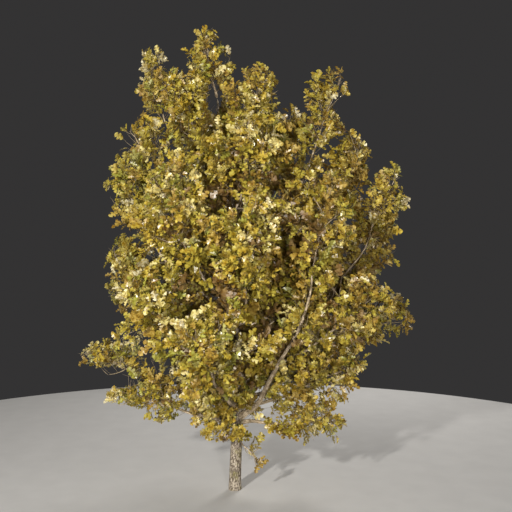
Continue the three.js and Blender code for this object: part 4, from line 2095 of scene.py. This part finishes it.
    def _dealt(self) -> Array:
        """Deals the tints out by spray, with painted light and shade: the right side has more warm, darker
        ones and the left more pale ones, and the inside more dark ones as painted shade.

        Returns:
            The number of each leaf's tint.
        """
        leaves = self.leaves
        sprays = leaves.spray.max() + 1
        side, depth = np.zeros(sprays), np.zeros(sprays)
        # How far right each spray lies: paler tints go left and darker, warmer ones right, as painted light
        # and shade.
        side[leaves.spray] = leaves.base[:, 0] / HEART.radii[0]
        # How deep in the crown each spray lies: darker tints go inside, as painted shade.
        depth[leaves.spray] = np.clip(-leaves.past / self.shaded_at, 0, 1)
        shares = np.array([tint.value.weight(side, depth) for tint in Tint])
        limits = np.cumsum(shares / shares.sum(axis=0), axis=0)
        drawn = np.random.default_rng(TINT_SEED).random(sprays)
        return (drawn > limits[:-1]).sum(axis=0)[leaves.spray]

    def _build_leaves(self, effect: bpy.types.NodeTree) -> None:
        """Makes the leaves, joined tint by tint into pieces of some thousands.

        Args:
            effect: The leaf's change of tone.
        """
        leaves = self.leaves
        dealt = self._dealt()
        for number, tint in enumerate(Tint):
            chosen = np.flatnonzero(dealt == number)
            finish = tint.value.material(f"leaf_{tint.label}", effect)
            parts = math.ceil(len(chosen) / self.LEAVES_TOGETHER)
            for part, some in enumerate(np.array_split(chosen, parts), start=1):
                inner = leaves.past[some] < leaves.inner_from
                arrays = joined([
                    leaves.mesh_arrays(some[~inner], self.outer_leaf),
                    leaves.mesh_arrays(some[inner], self.inner_leaf),
                ])
                piece = object_from(f"leaves_{tint.label}_{part}", *arrays, smooth=False)
                nodes = [self.mass_nodes[k] for k in np.unique(leaves.mass[some])]
                self._finish(piece, finish, nodes)


@dataclass(frozen=True)
class Lamp:
    """A square soft lamp.

    Attributes:
        name: The lamp's name.
        place: Where it hangs.
        size: The length of its side.
        watts: Its power.
        colour: Its colour.
        glints: Whether it shows in the gloss of the leaves.
    """

    name: str
    place: Place
    size: float
    watts: float
    colour: Colour
    glints: bool = True

    def build(self, target: Place) -> None:
        """Hangs the lamp.

        Args:
            target: The point that it is aimed at.
        """
        data = bpy.data.lights.new(self.name, "AREA")
        data.size = self.size
        data.energy = self.watts
        data.color = self.colour
        lamp = bpy.data.objects.new(self.name, data)
        lamp.location = self.place
        lamp.rotation_euler = self._turn(target)
        lamp.visible_glossy = self.glints
        bpy.context.scene.collection.objects.link(lamp)

    def _turn(self, target: Place) -> Place:
        """Works out the turn that points the lamp at a target.

        Args:
            target: The point that it is aimed at.

        Returns:
            Angles about X, Y and Z.
        """
        right, back, up = np.array(target) - np.array(self.place)
        tilt = math.atan2(math.hypot(right, back), -up)
        return tilt, 0.0, math.atan2(back, right) - math.pi / 2


@dataclass(frozen=True)
class Studio:
    """A plain pale floor, soft light with its key at the front on the left, and the camera.

    Attributes:
        floor_radius: The radius of the floor.
        floor_sides: How many sides the floor's rim has.
        floor_colour: The floor's colour.
        floor_patches: The faint patches in it.
        floor_tone: How light the patches make it.
        floor_roughness: Its roughness.
        sky_colour: The colour of the even light from all round.
        sky_strength: The strength of that light.
        lamps: The lamps.
        aim: The point in the crown that the lamps are aimed at.
    """

    floor_radius: float = 7.0
    floor_sides: int = 128
    floor_colour: Colour = (0.55, 0.545, 0.535)
    floor_patches: Noise = Noise(3.0, 4)
    floor_tone: Ramp = Ramp(0.3, 0.7, 0.97, 1.03)
    floor_roughness: float = 0.9
    sky_colour: Colour = (0.20, 0.194, 0.196)
    sky_strength: float = 0.17
    lamps: tuple[Lamp, ...] = (
        Lamp("key", (-4.6, -11.0, 5.6), 0.5, 1540.0, (1.0, 0.97, 0.92)),
        Lamp("fill", (1.8, -12.0, 2.9), 0.8, 590.0, (1.0, 0.97, 0.93)),
        Lamp("back", (3.0, 8.0, 7.0), 4.0, 700.0, (1.0, 0.97, 0.93), glints=False),
    )
    aim: Place = (0.1, 0.0, 2.7)

    def build(self) -> None:
        """Sets up the floor, the light and the camera."""
        self._build_floor()
        self._build_sky()
        for lamp in self.lamps:
            lamp.build(self.aim)
        self._build_camera()

    def _build_floor(self) -> None:
        """Lays the floor: a wide round sheet with a faint unevenness of tone."""
        bpy.ops.object.select_all(action="DESELECT")
        bpy.ops.mesh.primitive_circle_add(
            vertices=self.floor_sides, radius=self.floor_radius, fill_type="NGON"
        )
        floor = bpy.context.object
        floor.name = "floor"
        material, sheet = new_material("pale_floor")
        place = sheet.add("ShaderNodeTexCoord").outputs["Object"]
        tone = sheet.ramp(sheet.noise(place, self.floor_patches), self.floor_tone)
        colour = sheet.toned(rgba(self.floor_colour), tone)
        sheet.surface({"Base Color": colour, "Roughness": self.floor_roughness})
        floor.data.materials.append(material)
        floor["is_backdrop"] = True

    def _build_sky(self) -> None:
        """Sets up an even light from all round."""
        world = bpy.data.worlds.new("studio")
        world.use_nodes = True
        background = world.node_tree.nodes["Background"]
        background.inputs["Color"].default_value = rgba(self.sky_colour)
        background.inputs["Strength"].default_value = self.sky_strength
        bpy.context.scene.world = world

    def _build_camera(self) -> None:
        """Sets up the camera at the usual view."""
        data = bpy.data.cameras.new("camera")
        data.lens = LENS_MM
        data.sensor_width = SENSOR_MM
        camera = bpy.data.objects.new("camera", data)
        camera.location = EYE
        camera.rotation_euler = (math.pi / 2, 0, 0)
        bpy.context.scene.collection.objects.link(camera)
        bpy.context.scene.camera = camera
        bpy.context.scene.view_settings.view_transform = "Standard"


def write_sizes() -> None:
    """Works out the solids' box and the visual model's box, and keeps neither."""
    boxes = {"cad": CAD_BOX, "visual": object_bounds()}
    {name: [list(corner) for corner in box] for name, box in boxes.items()}


def main() -> None:
    """Builds the tree and the studio round it."""
    logging.basicConfig(level=logging.INFO, format="%(name)s: %(message)s")
    oak = Oak()
    LOG.info(
        "%d limbs, %d twigs, %d shoots, %d leaves",
        len(oak.limbs), len(oak.growth.twigs), len(oak.growth.shoots), len(oak.leaves.length),
    )
    oak.build()
    Studio().build()
    write_sizes()


if __name__ == "__main__":
    main()
